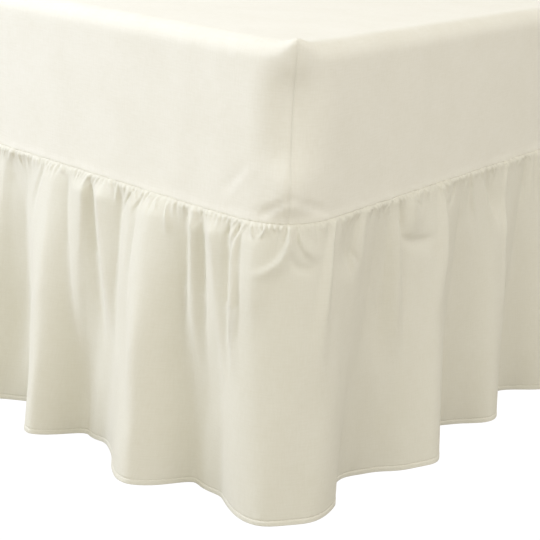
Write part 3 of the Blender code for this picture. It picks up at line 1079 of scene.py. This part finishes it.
    def corner_fill(self, away: np.ndarray) -> np.ndarray:
        """How far a corner of the tight radius lies outside the outline's rounder one.

        With R and r the two radii and a the angle from the corner's middle, b
        is (R - r) sqrt(2) cos a.  The tight corner is b + sqrt(b^2 - 2 (R -
        r)^2 + r^2) from the centre of the round one, or R / cos(45 deg - |a|)
        where that meets its straight sides.

        Args:
            away: Distances along the outline from the corner's middle.

        Returns:
            Distances in metres.
        """
        large, small = self.outline.corner, self.tight_radius
        angle = np.minimum(np.abs(away) / large, 0.25 * math.pi)
        straight = large / np.cos(0.25 * math.pi - angle)
        base = (large - small) * math.sqrt(2.0) * np.cos(angle)
        square = base * base - 2.0 * (large - small) ** 2 + small * small
        curved = base + np.sqrt(np.maximum(square, 0.0))
        on_side = straight * np.sin(0.25 * math.pi - angle) <= large - small
        return np.where(on_side, straight, curved) - large

    def lift_corners(self, points: np.ndarray) -> np.ndarray:
        """Raise the cloth to a small peak over each corner's apex.

        A point d from the apex in plan rises by peak * (1 - d / half)^2, times
        a smooth step over the last part of the side's height.

        Args:
            points: Points, one row of three each.

        Returns:
            The raised points.
        """
        line, outward = self.outline.walk(self.outline.corner_places)
        corner_reach = self.tight_above * float(self.corner_fill(np.zeros(1))[0])
        apexes = line + outward * (corner_reach - self.peak_inset)
        apart = np.linalg.norm(points[:, None, :2] - apexes[None], axis=-1).min(axis=1)
        near = np.clip(1.0 - apart / self.peak_half, 0.0, 1.0) ** 2
        raised = points.copy()
        below_top = self.sewn_height + self.depth - points[:, 2]
        raised[:, 2] += self.peak * near * smooth_step(1.0 - below_top / self.peak_rise)
        return raised

    def ring_rows(self, along: np.ndarray) -> np.ndarray:
        """Rings of points from the top's edge down to the sewn line.

        With r the edge radius there and a the angle round the edge, a point of
        the edge lies r (1 - sin a) in from the outline and r (1 - cos a) below
        the top; below the edge the rows are evenly spaced down the side.

        Args:
            along: Places of the columns.

        Returns:
            Points, rows by columns by three.
        """
        line, outward = self.outline.walk(along)
        away = self.outline.corner_offset(along)
        tighter = (self.edge_radius - self.corner_edge_radius) * bell(away, self.corner_edge_half)
        radius = self.edge_radius - tighter
        rows = []
        for step in range(self.edge_rows + 1):
            angle = 0.5 * math.pi * step / self.edge_rows
            inset = radius * (1.0 - math.sin(angle))
            up = self.depth - radius * (1.0 - math.cos(angle))
            out = self.relief(along, up, np.full_like(along, math.cos(angle) ** 2))
            points = line - outward * (inset - out * math.sin(angle))[:, None]
            rows.append(np.column_stack([points, self.sewn_height + up + out * math.cos(angle)]))
        low = np.array(self.low_rows) * MILLIMETRE
        shares = np.linspace(1.0, 0.0, self.side_rows, endpoint=False)[1:]
        side = self.depth - radius
        for share in shares:
            rows.append(self.side_row(along, low[0] + (side - low[0]) * share))
        for height in low:
            rows.append(self.side_row(along, np.full_like(along, height)))
        return np.array(rows)

    def side_row(self, along: np.ndarray, up: np.ndarray) -> np.ndarray:
        """One ring of points on the cover's side, turned in at the sewn line.

        The frill's puckers carry on a little over the line, each times an ease
        out; a share of a pucker goes outwards and a share pulls the edge down.

        Args:
            along: Places along the sewn line.
            up: Heights over it, of the same shape.

        Returns:
            Points, one row of three each.
        """
        turned_in = self.turned_in * (1.0 - smooth_step(up / self.turned_in_over))
        pucker = self.puckers.humps(along, np.full_like(along, self.pucker_at))
        pucker = pucker * smooth_step((self.pucker_top - up) / self.pucker_fade)
        points = self.side_points(along, up, self.pucker_out * pucker - turned_in)
        points[:, 2] -= self.pucker_down * pucker
        return points

    def side_points(self, along: np.ndarray, up: np.ndarray, proud: np.ndarray) -> np.ndarray:
        """Points on the side: the outline plus the relief and proud, along its normal.

        Args:
            along: Places along the sewn line.
            up: Heights over it, of the same shape.
            proud: What is added to the relief.

        Returns:
            Points, one row of three each.
        """
        line, outward = self.outline.walk(along)
        out = self.relief(along, up, np.zeros_like(along)) + proud
        return np.column_stack([line + outward * out[:, None], self.sewn_height + up])

    def top_points(self, ring: np.ndarray, numbers: np.ndarray) -> np.ndarray:
        """Points inside the top, blended from its four edges.

        The blend is the usual one of four boundary curves: the sum of the two
        straight blends between opposite edges, less the blend of the corners.
        Away from the edges the cloth is lifted by top_wave (1 + w / 2), with w
        the sum of the waves of TOP_WAVES.

        Args:
            ring: Points of the top's edge.
            numbers: Grid of the edge's point numbers, with -1 inside.

        Returns:
            Points of the whole grid.
        """
        west, east = ring[numbers[0]], ring[numbers[-1]]
        south, north = ring[numbers[:, 0]], ring[numbers[:, -1]]
        run = np.linalg.norm(np.diff(south, axis=0), axis=1).cumsum()
        s = np.concatenate([[0.0], run / run[-1]])[:, None, None]
        run = np.linalg.norm(np.diff(east, axis=0), axis=1).cumsum()
        t = np.concatenate([[0.0], run / run[-1]])[None, :, None]
        blend = (1.0 - s) * west[None] + s * east[None]
        blend = blend + (1.0 - t) * south[:, None] + t * north[:, None]
        blend = blend - (1.0 - s) * (1.0 - t) * south[0] - s * (1.0 - t) * south[-1]
        blend = blend - (1.0 - s) * t * north[0] - s * t * north[-1]
        from_side = np.minimum(s, 1.0 - s) * self.outline.width
        from_end = np.minimum(t, 1.0 - t) * self.outline.length
        lift = smooth_step(np.minimum(from_side, from_end)[..., 0] / self.top_wave_start)
        x, y = blend[..., 0], blend[..., 1]
        wave = sum(
            strength * np.sin(x_turn * x + y_turn * y + phase)
            for x_turn, y_turn, phase, strength in TOP_WAVES
        )
        blend[..., 2] += self.top_wave * lift * (1.0 + 0.5 * wave)
        return blend

    def build(self, finish: bpy.types.Material) -> bpy.types.Object:
        """The rings of the side are closed round the bed.  The top's grid takes
        its four edges from the first ring, side by side, and the rest of its
        points are new.  Near the sewn line the cloth rides up with it.

        Args:
            finish: The cloth's material.

        Returns:
            The cover.
        """
        along, across, lengthwise = self.ring_places()
        rows = self.ring_rows(along)
        count, columns = rows.shape[:2]
        numbers = np.arange(count * columns).reshape(count, columns)
        closed = np.concatenate([numbers, numbers[:, :1]], axis=1)
        faces = grid_faces(closed).tolist()
        top = np.full((across + 1, lengthwise + 1), -1)
        top[-1, :] = np.arange(lengthwise + 1)
        top[::-1, -1] = lengthwise + np.arange(across + 1)
        top[0, ::-1] = lengthwise + across + np.arange(lengthwise + 1)
        top[:, 0] = (2 * lengthwise + across + np.arange(across + 1)) % columns
        grid = self.top_points(rows[0], top)
        inside = top < 0
        top[inside] = count * columns + np.arange(inside.sum())
        faces.extend(grid_faces(top.T[::-1]).tolist())
        lift = SewnLine(self.outline.around).lift(along)[None, :]
        rows[..., 2] += lift * smooth_step(1.0 - (rows[..., 2] - self.sewn_height) / self.line_pull)
        points = self.lift_corners(np.concatenate([rows.reshape(-1, 3), grid[inside]]))
        ups = self.sewn_height - rows[..., 2]
        side_uv = np.stack([np.broadcast_to(along, ups.shape), -ups], axis=-1).reshape(-1, 2)
        top_uv = grid[inside][:, :2] + self.top_uv_shift
        item = add_mesh("fitted_cover_cloth", points, faces, np.concatenate([side_uv, top_uv]))
        thicken(item, self.thickness)
        item.data.materials.append(finish)
        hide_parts("fitted_cover")
        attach(item, "root")
        LOG.info("%s: %d points", item.name, len(points))
        return item

    def stitch_line(self) -> tuple[np.ndarray, np.ndarray, np.ndarray]:
        """Where the corner seams' stitches lie.

        The direction is that to a point a millimetre higher, and the normal
        is the outline's, made square to it.

        Returns:
            Middles, directions and normals of the stitches.
        """
        corners = self.outline.corner_places
        up = np.arange(self.stitches_from, self.depth - self.stitches_below_top, self.stitch_pitch)
        along = np.repeat(corners - self.stitch_aside, len(up))
        up = np.tile(up, len(corners))
        flat = np.zeros_like(along)
        here = self.side_points(along, up, flat)
        ahead = unit(self.side_points(along, up + MILLIMETRE, flat) - here)
        normals = np.column_stack([self.outline.walk(along)[1], flat])
        return here, ahead, unit(normals - ahead * (normals * ahead).sum(axis=1, keepdims=True))


@dataclass(frozen=True)
class Stitches:
    """Rows of sewing stitches, each a little spindle of thread.

    Each row of rings is a ring of points round the thread: its place as a share
    of the length, and its width and extra height as shares of the radius.
    """

    name: str
    length: float = 2.3 * MILLIMETRE
    radius: float = 0.24 * MILLIMETRE
    proud: float = 0.10 * MILLIMETRE
    rings: tuple[tuple[float, float, float], ...] = (
        (-0.30, 0.8, 0.0), (0.0, 1.0, 0.35), (0.30, 0.8, 0.0),
    )

    def build(
        self, line: tuple[np.ndarray, np.ndarray, np.ndarray], finish: bpy.types.Material
    ) -> bpy.types.Object:
        """One object with every stitch of a line.

        A stitch has three rings of four points between two tips, which dip
        back towards the cloth: the first tip is point 0, the rings' points
        are 1 to 12, and the last tip is point 13.

        Args:
            line: Middles, directions and normals of the stitches.
            finish: The thread's material.

        Returns:
            The stitches.
        """
        middles, ahead, normals = line
        side = np.cross(normals, ahead)
        points = [middles - ahead * 0.5 * self.length - normals * self.radius]
        for share, thick, lift in self.rings:
            height = self.proud + lift * self.radius
            centre = middles + ahead * share * self.length + normals * height
            for turn in range(4):
                angle = 0.5 * math.pi * (turn + 0.5)
                out = side * math.cos(angle) + normals * math.sin(angle)
                points.append(centre + out * self.radius * thick)
        points.append(middles + ahead * 0.5 * self.length - normals * self.radius)
        points = np.stack(points, axis=1)
        each = []
        for turn in range(4):
            after = (turn + 1) % 4
            each.append((0, 1 + turn, 1 + after, 1 + after))
            for ring in (0, 1):
                low, high = 1 + 4 * ring, 5 + 4 * ring
                each.append((low + turn, high + turn, high + after, low + after))
            each.append((9 + turn, 13, 9 + after, 9 + after))
        pattern = np.array(each)
        faces = (np.arange(len(points))[:, None, None] * points.shape[1] + pattern).reshape(-1, 4)
        shaped = [face[:3] if face[2] == face[3] else face for face in faces.tolist()]
        item = add_mesh(self.name, points.reshape(-1, 3), shaped)
        item.data.materials.append(finish)
        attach(item, "root")
        LOG.info("%s: %d stitches", self.name, len(points))
        return item


# ------------------------------------------------------------------ finishes
def linear(code: str) -> tuple[float, float, float, float]:
    """The linear colour of an sRGB hex code, by the curve of the sRGB standard.

    Args:
        code: Six hex digits after a hash.

    Returns:
        Red, green, blue and an alpha of one.
    """
    parts = (int(code[i:i + 2], 16) / 255.0 for i in (1, 3, 5))
    turned = (c / 12.92 if c <= 0.04045 else ((c + 0.055) / 1.055) ** 2.4 for c in parts)
    return (*turned, 1.0)


def add_node(
    tree: bpy.types.NodeTree,
    kind: str,
    links: dict[str | int, bpy.types.NodeSocket] | None = None,
    values: dict[str | int, object] | None = None,
    **settings: object,
) -> bpy.types.Node:
    """Add one node with its settings, values and links.

    Args:
        tree: The node tree.
        kind: The node's type name.
        links: Input to the output socket that feeds it.
        values: Input to its value.
        **settings: Properties of the node.

    Returns:
        The node.
    """
    node = tree.nodes.new(kind)
    for key, value in settings.items():
        setattr(node, key, value)
    for key, value in (values or {}).items():
        node.inputs[key].default_value = value
    for key, socket in (links or {}).items():
        tree.links.new(socket, node.inputs[key])
    return node


@dataclass(frozen=True)
class WovenCloth:
    """Plain-woven cloth, such as cotton off the loom.

    The eye sees a matt surface that never glints, a soft pale edge where the
    nap is seen from the side, and, close by, a fine grid of threads with a
    thicker one here and there, a little paler and more matt than the rest.

    Threads are drawn at thread_gap, which is coarser than a real cotton's
    0.25 mm, so that a close view shows them.
    """

    name: str
    colour: str
    tone: str
    roughness: float = 0.86
    roughness_swing: float = 0.05
    gloss: float = 0.25
    sheen: float = 0.20
    sheen_roughness: float = 0.55
    thread_gap: float = 0.9 * MILLIMETRE
    thread_height: float = 0.05 * MILLIMETRE
    # A slub is about 2.2 mm wide and 17 mm long, and a patch 70 mm across:
    # these are their numbers per metre.
    slubs_across: float = 450.0
    slubs_lengthwise: float = 60.0
    slub_height: float = 0.10 * MILLIMETRE
    patches: float = 14.0
    uses_uv: bool = True

    def make(self) -> bpy.types.Material:
        """The material's nodes.

        The weave is sin(2 pi x / gap) sin(2 pi y / gap), with x and y on the
        flat cloth, or on the piece where it has no flat one.  Slubs are noise
        stretched along each set of threads.  The tone goes from tone to colour
        with the slubs and slow patches, and the roughness with the slubs.

        Returns:
            The material.
        """
        material = bpy.data.materials.new(self.name)
        material.use_nodes = True
        tree = material.node_tree
        shader = tree.nodes["Principled BSDF"]
        shader.inputs["Sheen Weight"].default_value = self.sheen
        shader.inputs["Sheen Roughness"].default_value = self.sheen_roughness
        shader.inputs["Specular IOR Level"].default_value = self.gloss
        if self.uses_uv:
            place = add_node(tree, "ShaderNodeUVMap", uv_map="cloth").outputs["UV"]
        else:
            place = add_node(tree, "ShaderNodeTexCoord").outputs["Object"]
        split = add_node(tree, "ShaderNodeSeparateXYZ", {0: place})
        turns = 2.0 * math.pi / self.thread_gap
        math_node = "ShaderNodeMath"
        waves = []
        for axis in ("X", "Y"):
            scaled = add_node(
                tree, math_node, {0: split.outputs[axis]}, {1: turns}, operation="MULTIPLY"
            )
            wave = add_node(tree, math_node, {0: scaled.outputs[0]}, operation="SINE")
            waves.append(wave.outputs[0])
        weave = add_node(tree, math_node, {0: waves[0], 1: waves[1]}, operation="MULTIPLY")
        fine, coarse = self.slubs_across, self.slubs_lengthwise
        slubs = []
        for stretch in ((fine, coarse, coarse), (coarse, fine, coarse)):
            mapped = add_node(tree, "ShaderNodeMapping", {"Vector": place}, {"Scale": stretch})
            slubs.append(add_node(
                tree, "ShaderNodeTexNoise", {"Vector": mapped.outputs[0]},
                {"Scale": 1.0, "Detail": 2.0, "Roughness": 0.55},
            ).outputs["Fac"])
        slub = add_node(tree, math_node, {0: slubs[0], 1: slubs[1]}, operation="ADD").outputs[0]
        patch = add_node(
            tree, "ShaderNodeTexNoise", {"Vector": place},
            {"Scale": self.patches, "Detail": 3.0, "Roughness": 0.6},
        )
        uneven = add_node(tree, math_node, {0: slub, 1: patch.outputs["Fac"]}, operation="ADD")
        # The ranges here and below are those that the sums of noise mostly fill.
        share = add_node(
            tree, "ShaderNodeMapRange", {"Value": uneven.outputs[0]},
            {"From Min": 0.9, "From Max": 2.1, "To Min": 0.0, "To Max": 1.0},
        )
        # Sockets 6 and 7 are the Mix node's two colours, and output 2 is its colour.
        colour = add_node(
            tree, "ShaderNodeMix", {"Factor": share.outputs[0]},
            {6: linear(self.tone), 7: linear(self.colour)}, data_type="RGBA",
        )
        tree.links.new(colour.outputs[2], shader.inputs["Base Color"])
        least, most = self.roughness - self.roughness_swing, self.roughness + self.roughness_swing
        rough = add_node(
            tree, "ShaderNodeMapRange", {"Value": slub},
            {"From Min": 0.6, "From Max": 1.4, "To Min": least, "To Max": most},
        )
        tree.links.new(rough.outputs[0], shader.inputs["Roughness"])
        threads = add_node(
            tree, "ShaderNodeBump", {"Height": weave.outputs[0]},
            {"Strength": 0.6, "Distance": self.thread_height},
        )
        thick_threads = add_node(
            tree, "ShaderNodeBump", {"Height": slub, "Normal": threads.outputs[0]},
            {"Strength": 0.8, "Distance": self.slub_height},
        )
        tree.links.new(thick_threads.outputs[0], shader.inputs["Normal"])
        return material


@dataclass(frozen=True)
class MouldedPlastic:
    """Moulded black polypropylene, from a spark-eroded mould.

    The eye sees a satin black that breaks up into fine grain where light
    glances off it.
    """

    name: str
    colour: str
    roughness: float = 0.50
    roughness_swing: float = 0.06
    grain: float = 0.8 * MILLIMETRE
    grain_depth: float = 0.1 * MILLIMETRE

    def make(self) -> bpy.types.Material:
        """The material's nodes: one colour, and grain in bump and roughness.

        Returns:
            The material.
        """
        material = bpy.data.materials.new(self.name)
        material.use_nodes = True
        tree = material.node_tree
        shader = tree.nodes["Principled BSDF"]
        shader.inputs["Base Color"].default_value = linear(self.colour)
        place = add_node(tree, "ShaderNodeTexCoord").outputs["Object"]
        grain = add_node(
            tree, "ShaderNodeTexNoise", {"Vector": place},
            {"Scale": 1.0 / self.grain, "Detail": 2.0},
        ).outputs["Fac"]
        least, most = self.roughness - self.roughness_swing, self.roughness + self.roughness_swing
        rough = add_node(
            tree, "ShaderNodeMapRange", {"Value": grain},
            {"From Min": 0.3, "From Max": 0.7, "To Min": least, "To Max": most},
        )
        tree.links.new(rough.outputs[0], shader.inputs["Roughness"])
        bump = add_node(
            tree, "ShaderNodeBump", {"Height": grain},
            {"Strength": 0.3, "Distance": self.grain_depth},
        )
        tree.links.new(bump.outputs[0], shader.inputs["Normal"])
        return material


# -------------------------------------------------------------------- studio
@dataclass(frozen=True)
class Softbox:
    """A square soft light close by, which points at the seen corner.

    Watts are its power in red, green and blue.
    """

    name: str
    place: tuple[float, float, float]
    watts: tuple[float, float, float]
    size: float = 0.9

    def build(self, target: Vector) -> None:
        """Add the light, turned to the target and out of the camera's sight.

        Args:
            target: The point that it faces.
        """
        lamp = bpy.data.lights.new(self.name, "AREA")
        lamp.shape = "SQUARE"
        lamp.size = self.size
        lamp.energy = max(self.watts)
        lamp.color = [part / lamp.energy for part in self.watts]
        item = bpy.data.objects.new(self.name, lamp)
        item.location = self.place
        item.rotation_euler = (target - item.location).to_track_quat("-Z", "Y").to_euler()
        item.visible_camera = False
        bpy.context.scene.collection.objects.link(item)


@dataclass(frozen=True)
class FarPanel:
    """A large panel far away, as a broad sun from one side and height.

    Side is its angle from +X towards +Y and height its angle over the floor,
    both in degrees; strength is in red, green and blue, and breadth, the angle
    that it fills, in radians.
    """

    name: str
    side: float
    height: float
    strength: tuple[float, float, float]
    breadth: float = 0.45

    def build(self) -> None:
        """Add the light, shining down from its side."""
        side, height = math.radians(self.side), math.radians(self.height)
        towards = Vector((
            math.cos(side) * math.cos(height), math.sin(side) * math.cos(height), math.sin(height)
        ))
        lamp = bpy.data.lights.new(self.name, "SUN")
        lamp.angle = self.breadth
        lamp.energy = max(self.strength)
        lamp.color = [part / lamp.energy for part in self.strength]
        item = bpy.data.objects.new(self.name, lamp)
        item.rotation_euler = towards.to_track_quat("Z", "Y").to_euler()
        bpy.context.scene.collection.objects.link(item)


@dataclass
class Studio:
    """Camera, floor, sky and lights.

    The lens and the sensor are in millimetres, and the angles in degrees.
    """

    outline: Outline
    sewn_height: float = 0.4135
    lens: float = 76.3
    sensor: float = 36.0
    nearest: float = 0.01
    pitch: float = 20.48
    azimuth: float = 39.34
    roll: float = 2.91
    stand_off: tuple[float, float, float] = (0.83059, -1.04850, 0.45169)
    floor_size: float = 40.0
    floor_tone: str = "#9A9384"
    floor_roughness: float = 0.9
    sky_power: tuple[float, float, float] = (0.855, 0.832, 0.764)
    backdrop_glow: float = 1.05
    aim: tuple[float, float, float] = (0.62, -0.90, 0.35)
    panels: tuple[FarPanel, ...] = (
        FarPanel("left_panel", 210.0, 15.0, (0.19, 0.17, 0.16)),
    )
    softboxes: tuple[Softbox, ...] = (
        Softbox("left_front_softbox", (-1.2, -2.2, 1.6), (24.0, 26.8, 34.0)),
        Softbox("low_front_softbox", (0.8, -2.9, 0.5), (5.8, 6.0, 6.2)),
        Softbox("right_softbox", (2.9, -1.0, 1.5), (12.6, 12.8, 14.4)),
    )

    def add_camera(self) -> None:
        """Place the camera as it stood for the photograph.

        Its view direction comes from the pitch and azimuth, and the roll turns
        it about that direction; it stands at stand_off from the sharp corner
        of the sewn line's box.
        """
        pitch, azimuth, roll = (math.radians(a) for a in (self.pitch, self.azimuth, self.roll))
        back = Vector((
            math.sin(azimuth) * math.cos(pitch),
            -math.cos(azimuth) * math.cos(pitch),
            math.sin(pitch),
        ))
        level = Vector((math.cos(azimuth), math.sin(azimuth), 0.0))
        raised = back.cross(level)
        right = level * math.cos(roll) + raised * math.sin(roll)
        above = raised * math.cos(roll) - level * math.sin(roll)
        corner = Vector((
            self.outline.middle_x + 0.5 * self.outline.width,
            self.outline.middle_y - 0.5 * self.outline.length,
            self.sewn_height,
        ))
        turned = Matrix((right, above, back)).transposed().to_4x4()
        camera = bpy.data.cameras.new("photo_camera")
        camera.lens = self.lens
        camera.sensor_width = self.sensor
        camera.clip_start = self.nearest
        item = bpy.data.objects.new("photo_camera", camera)
        item.matrix_world = Matrix.Translation(corner + Vector(self.stand_off)) @ turned
        bpy.context.scene.collection.objects.link(item)
        bpy.context.scene.camera = item

    def add_floor(self) -> None:
        """A plain matt floor that shows white to the camera and bounces little light."""
        square = np.array([(-1.0, -1.0, 0.0), (1.0, -1.0, 0.0), (1.0, 1.0, 0.0), (-1.0, 1.0, 0.0)])
        floor = add_mesh("studio_floor", 0.5 * self.floor_size * square, [(0, 1, 2, 3)])
        material = bpy.data.materials.new("studio_floor_paint")
        material.use_nodes = True
        tree = material.node_tree
        bounce = tree.nodes["Principled BSDF"]
        bounce.inputs["Base Color"].default_value = linear(self.floor_tone)
        bounce.inputs["Roughness"].default_value = self.floor_roughness
        self.show_white(tree, "ShaderNodeEmission", bounce, "Material Output")
        floor.data.materials.append(material)

    def add_sky(self) -> None:
        """An even sky that shows white to the camera and lights with its own tone."""
        world = bpy.data.worlds.new("studio_sky")
        world.use_nodes = True
        sky = world.node_tree.nodes["Background"]
        power = max(self.sky_power)
        sky.inputs["Color"].default_value = (*(part / power for part in self.sky_power), 1.0)
        sky.inputs["Strength"].default_value = power
        self.show_white(world.node_tree, "ShaderNodeBackground", sky, "World Output")
        bpy.context.scene.world = world

    def show_white(
        self, tree: bpy.types.NodeTree, kind: str, shader: bpy.types.Node, output: str
    ) -> None:
        """Let the floor or sky glow white to the camera, and keep its shader for the rest.

        Args:
            tree: The node tree of the floor's material or of the sky.
            kind: Type name of the glowing node.
            shader: The shader that lights and bounces.
            output: Name of the tree's output node.
        """
        white = {"Color": (1.0, 1.0, 1.0, 1.0), "Strength": self.backdrop_glow}
        glow = add_node(tree, kind, values=white)
        path = add_node(tree, "ShaderNodeLightPath")
        mixed = add_node(
            tree, "ShaderNodeMixShader",
            {0: path.outputs["Is Camera Ray"], 1: shader.outputs[0], 2: glow.outputs[0]},
        )
        tree.links.new(mixed.outputs[0], tree.nodes[output].inputs["Surface"])

    def build(self) -> None:
        """Add everything that isn't part of the object."""
        self.add_camera()
        self.add_floor()
        self.add_sky()
        for softbox in self.softboxes:
            softbox.build(Vector(self.aim))
        for panel in self.panels:
            panel.build()
        bpy.context.scene.view_settings.view_transform = "Standard"


def dress_nodes(nodes: dict[str, bpy.types.Object]) -> None:
    """Give the CAD nodes that keep their shapes their finishes.

    The mattress has a thick off-white ticking, the base a coarser grey-brown
    cloth, and the feet black plastic.

    Args:
        nodes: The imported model's nodes.
    """
    ticking = WovenCloth(
        "woven_cotton_ticking", "#E4DFD3", "#D6D0C2", thread_gap=1.4 * MILLIMETRE, uses_uv=False
    ).make()
    base_cloth = WovenCloth(
        "woven_polyester_base_cloth", "#A89F91", "#958C7E",
        thread_gap=1.6 * MILLIMETRE, uses_uv=False,
    ).make()
    plastic = MouldedPlastic("moulded_polypropylene", "#1C1C1C").make()
    finishes = (
        ("mattress", ticking, Slot.TICKING),
        ("bed_base", base_cloth, Slot.BASE_CLOTH),
        ("foot_", plastic, Slot.PLASTIC),
    )
    for name, node in nodes.items():
        for start, finish, slot in finishes:
            if name.startswith(start):
                for place in node.material_slots:
                    place.material = finish
                LOG.info("%s: %s", name, finish.name)


def main() -> None:
    """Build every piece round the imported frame."""
    logging.basicConfig(level=logging.INFO, format="%(message)s")
    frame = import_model()
    low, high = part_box("bed_base")
    outline = Outline(middle_x=0.5 * (low.x + high.x), middle_y=0.5 * (low.y + high.y))
    Studio(outline).build()
    # Cream cotton stretched over a pale mattress: warm off-white, bright and even.
    cotton = WovenCloth("plain_woven_cream_cotton", "#F1EEE2", "#E9E5D6").make()
    # The frill's cotton is a darker copy of the cover's: painted shade. The cloth is the same, but
    # the frill hangs as one layer with nothing pale behind it, lower down, and looks darker, so its
    # colour is darkened to stand in for that shade.
    frill_painted_shade_cotton = WovenCloth("plain_woven_cream_cotton_painted_frill_shade", "#E4E1D3", "#DDD9C8").make()
    # Sewing thread of the cover's own colour, which shows by its shade alone.
    thread = WovenCloth("spun_cotton_thread", "#F1EEE2", "#E9E5D6", uses_uv=False).make()
    frill = Frill(outline)
    frill.build(frill_painted_shade_cotton)
    cover = FittedCover(outline, frill.gathers[0])
    cover.build(cotton)
    Stitches("corner_seam_stitches").build(cover.stitch_line(), thread)
    Stitches("hem_stitches").build(frill.stitch_line(), thread)
    dress_nodes(frame["nodes"])
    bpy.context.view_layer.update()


if __name__ == "__main__":
    main()
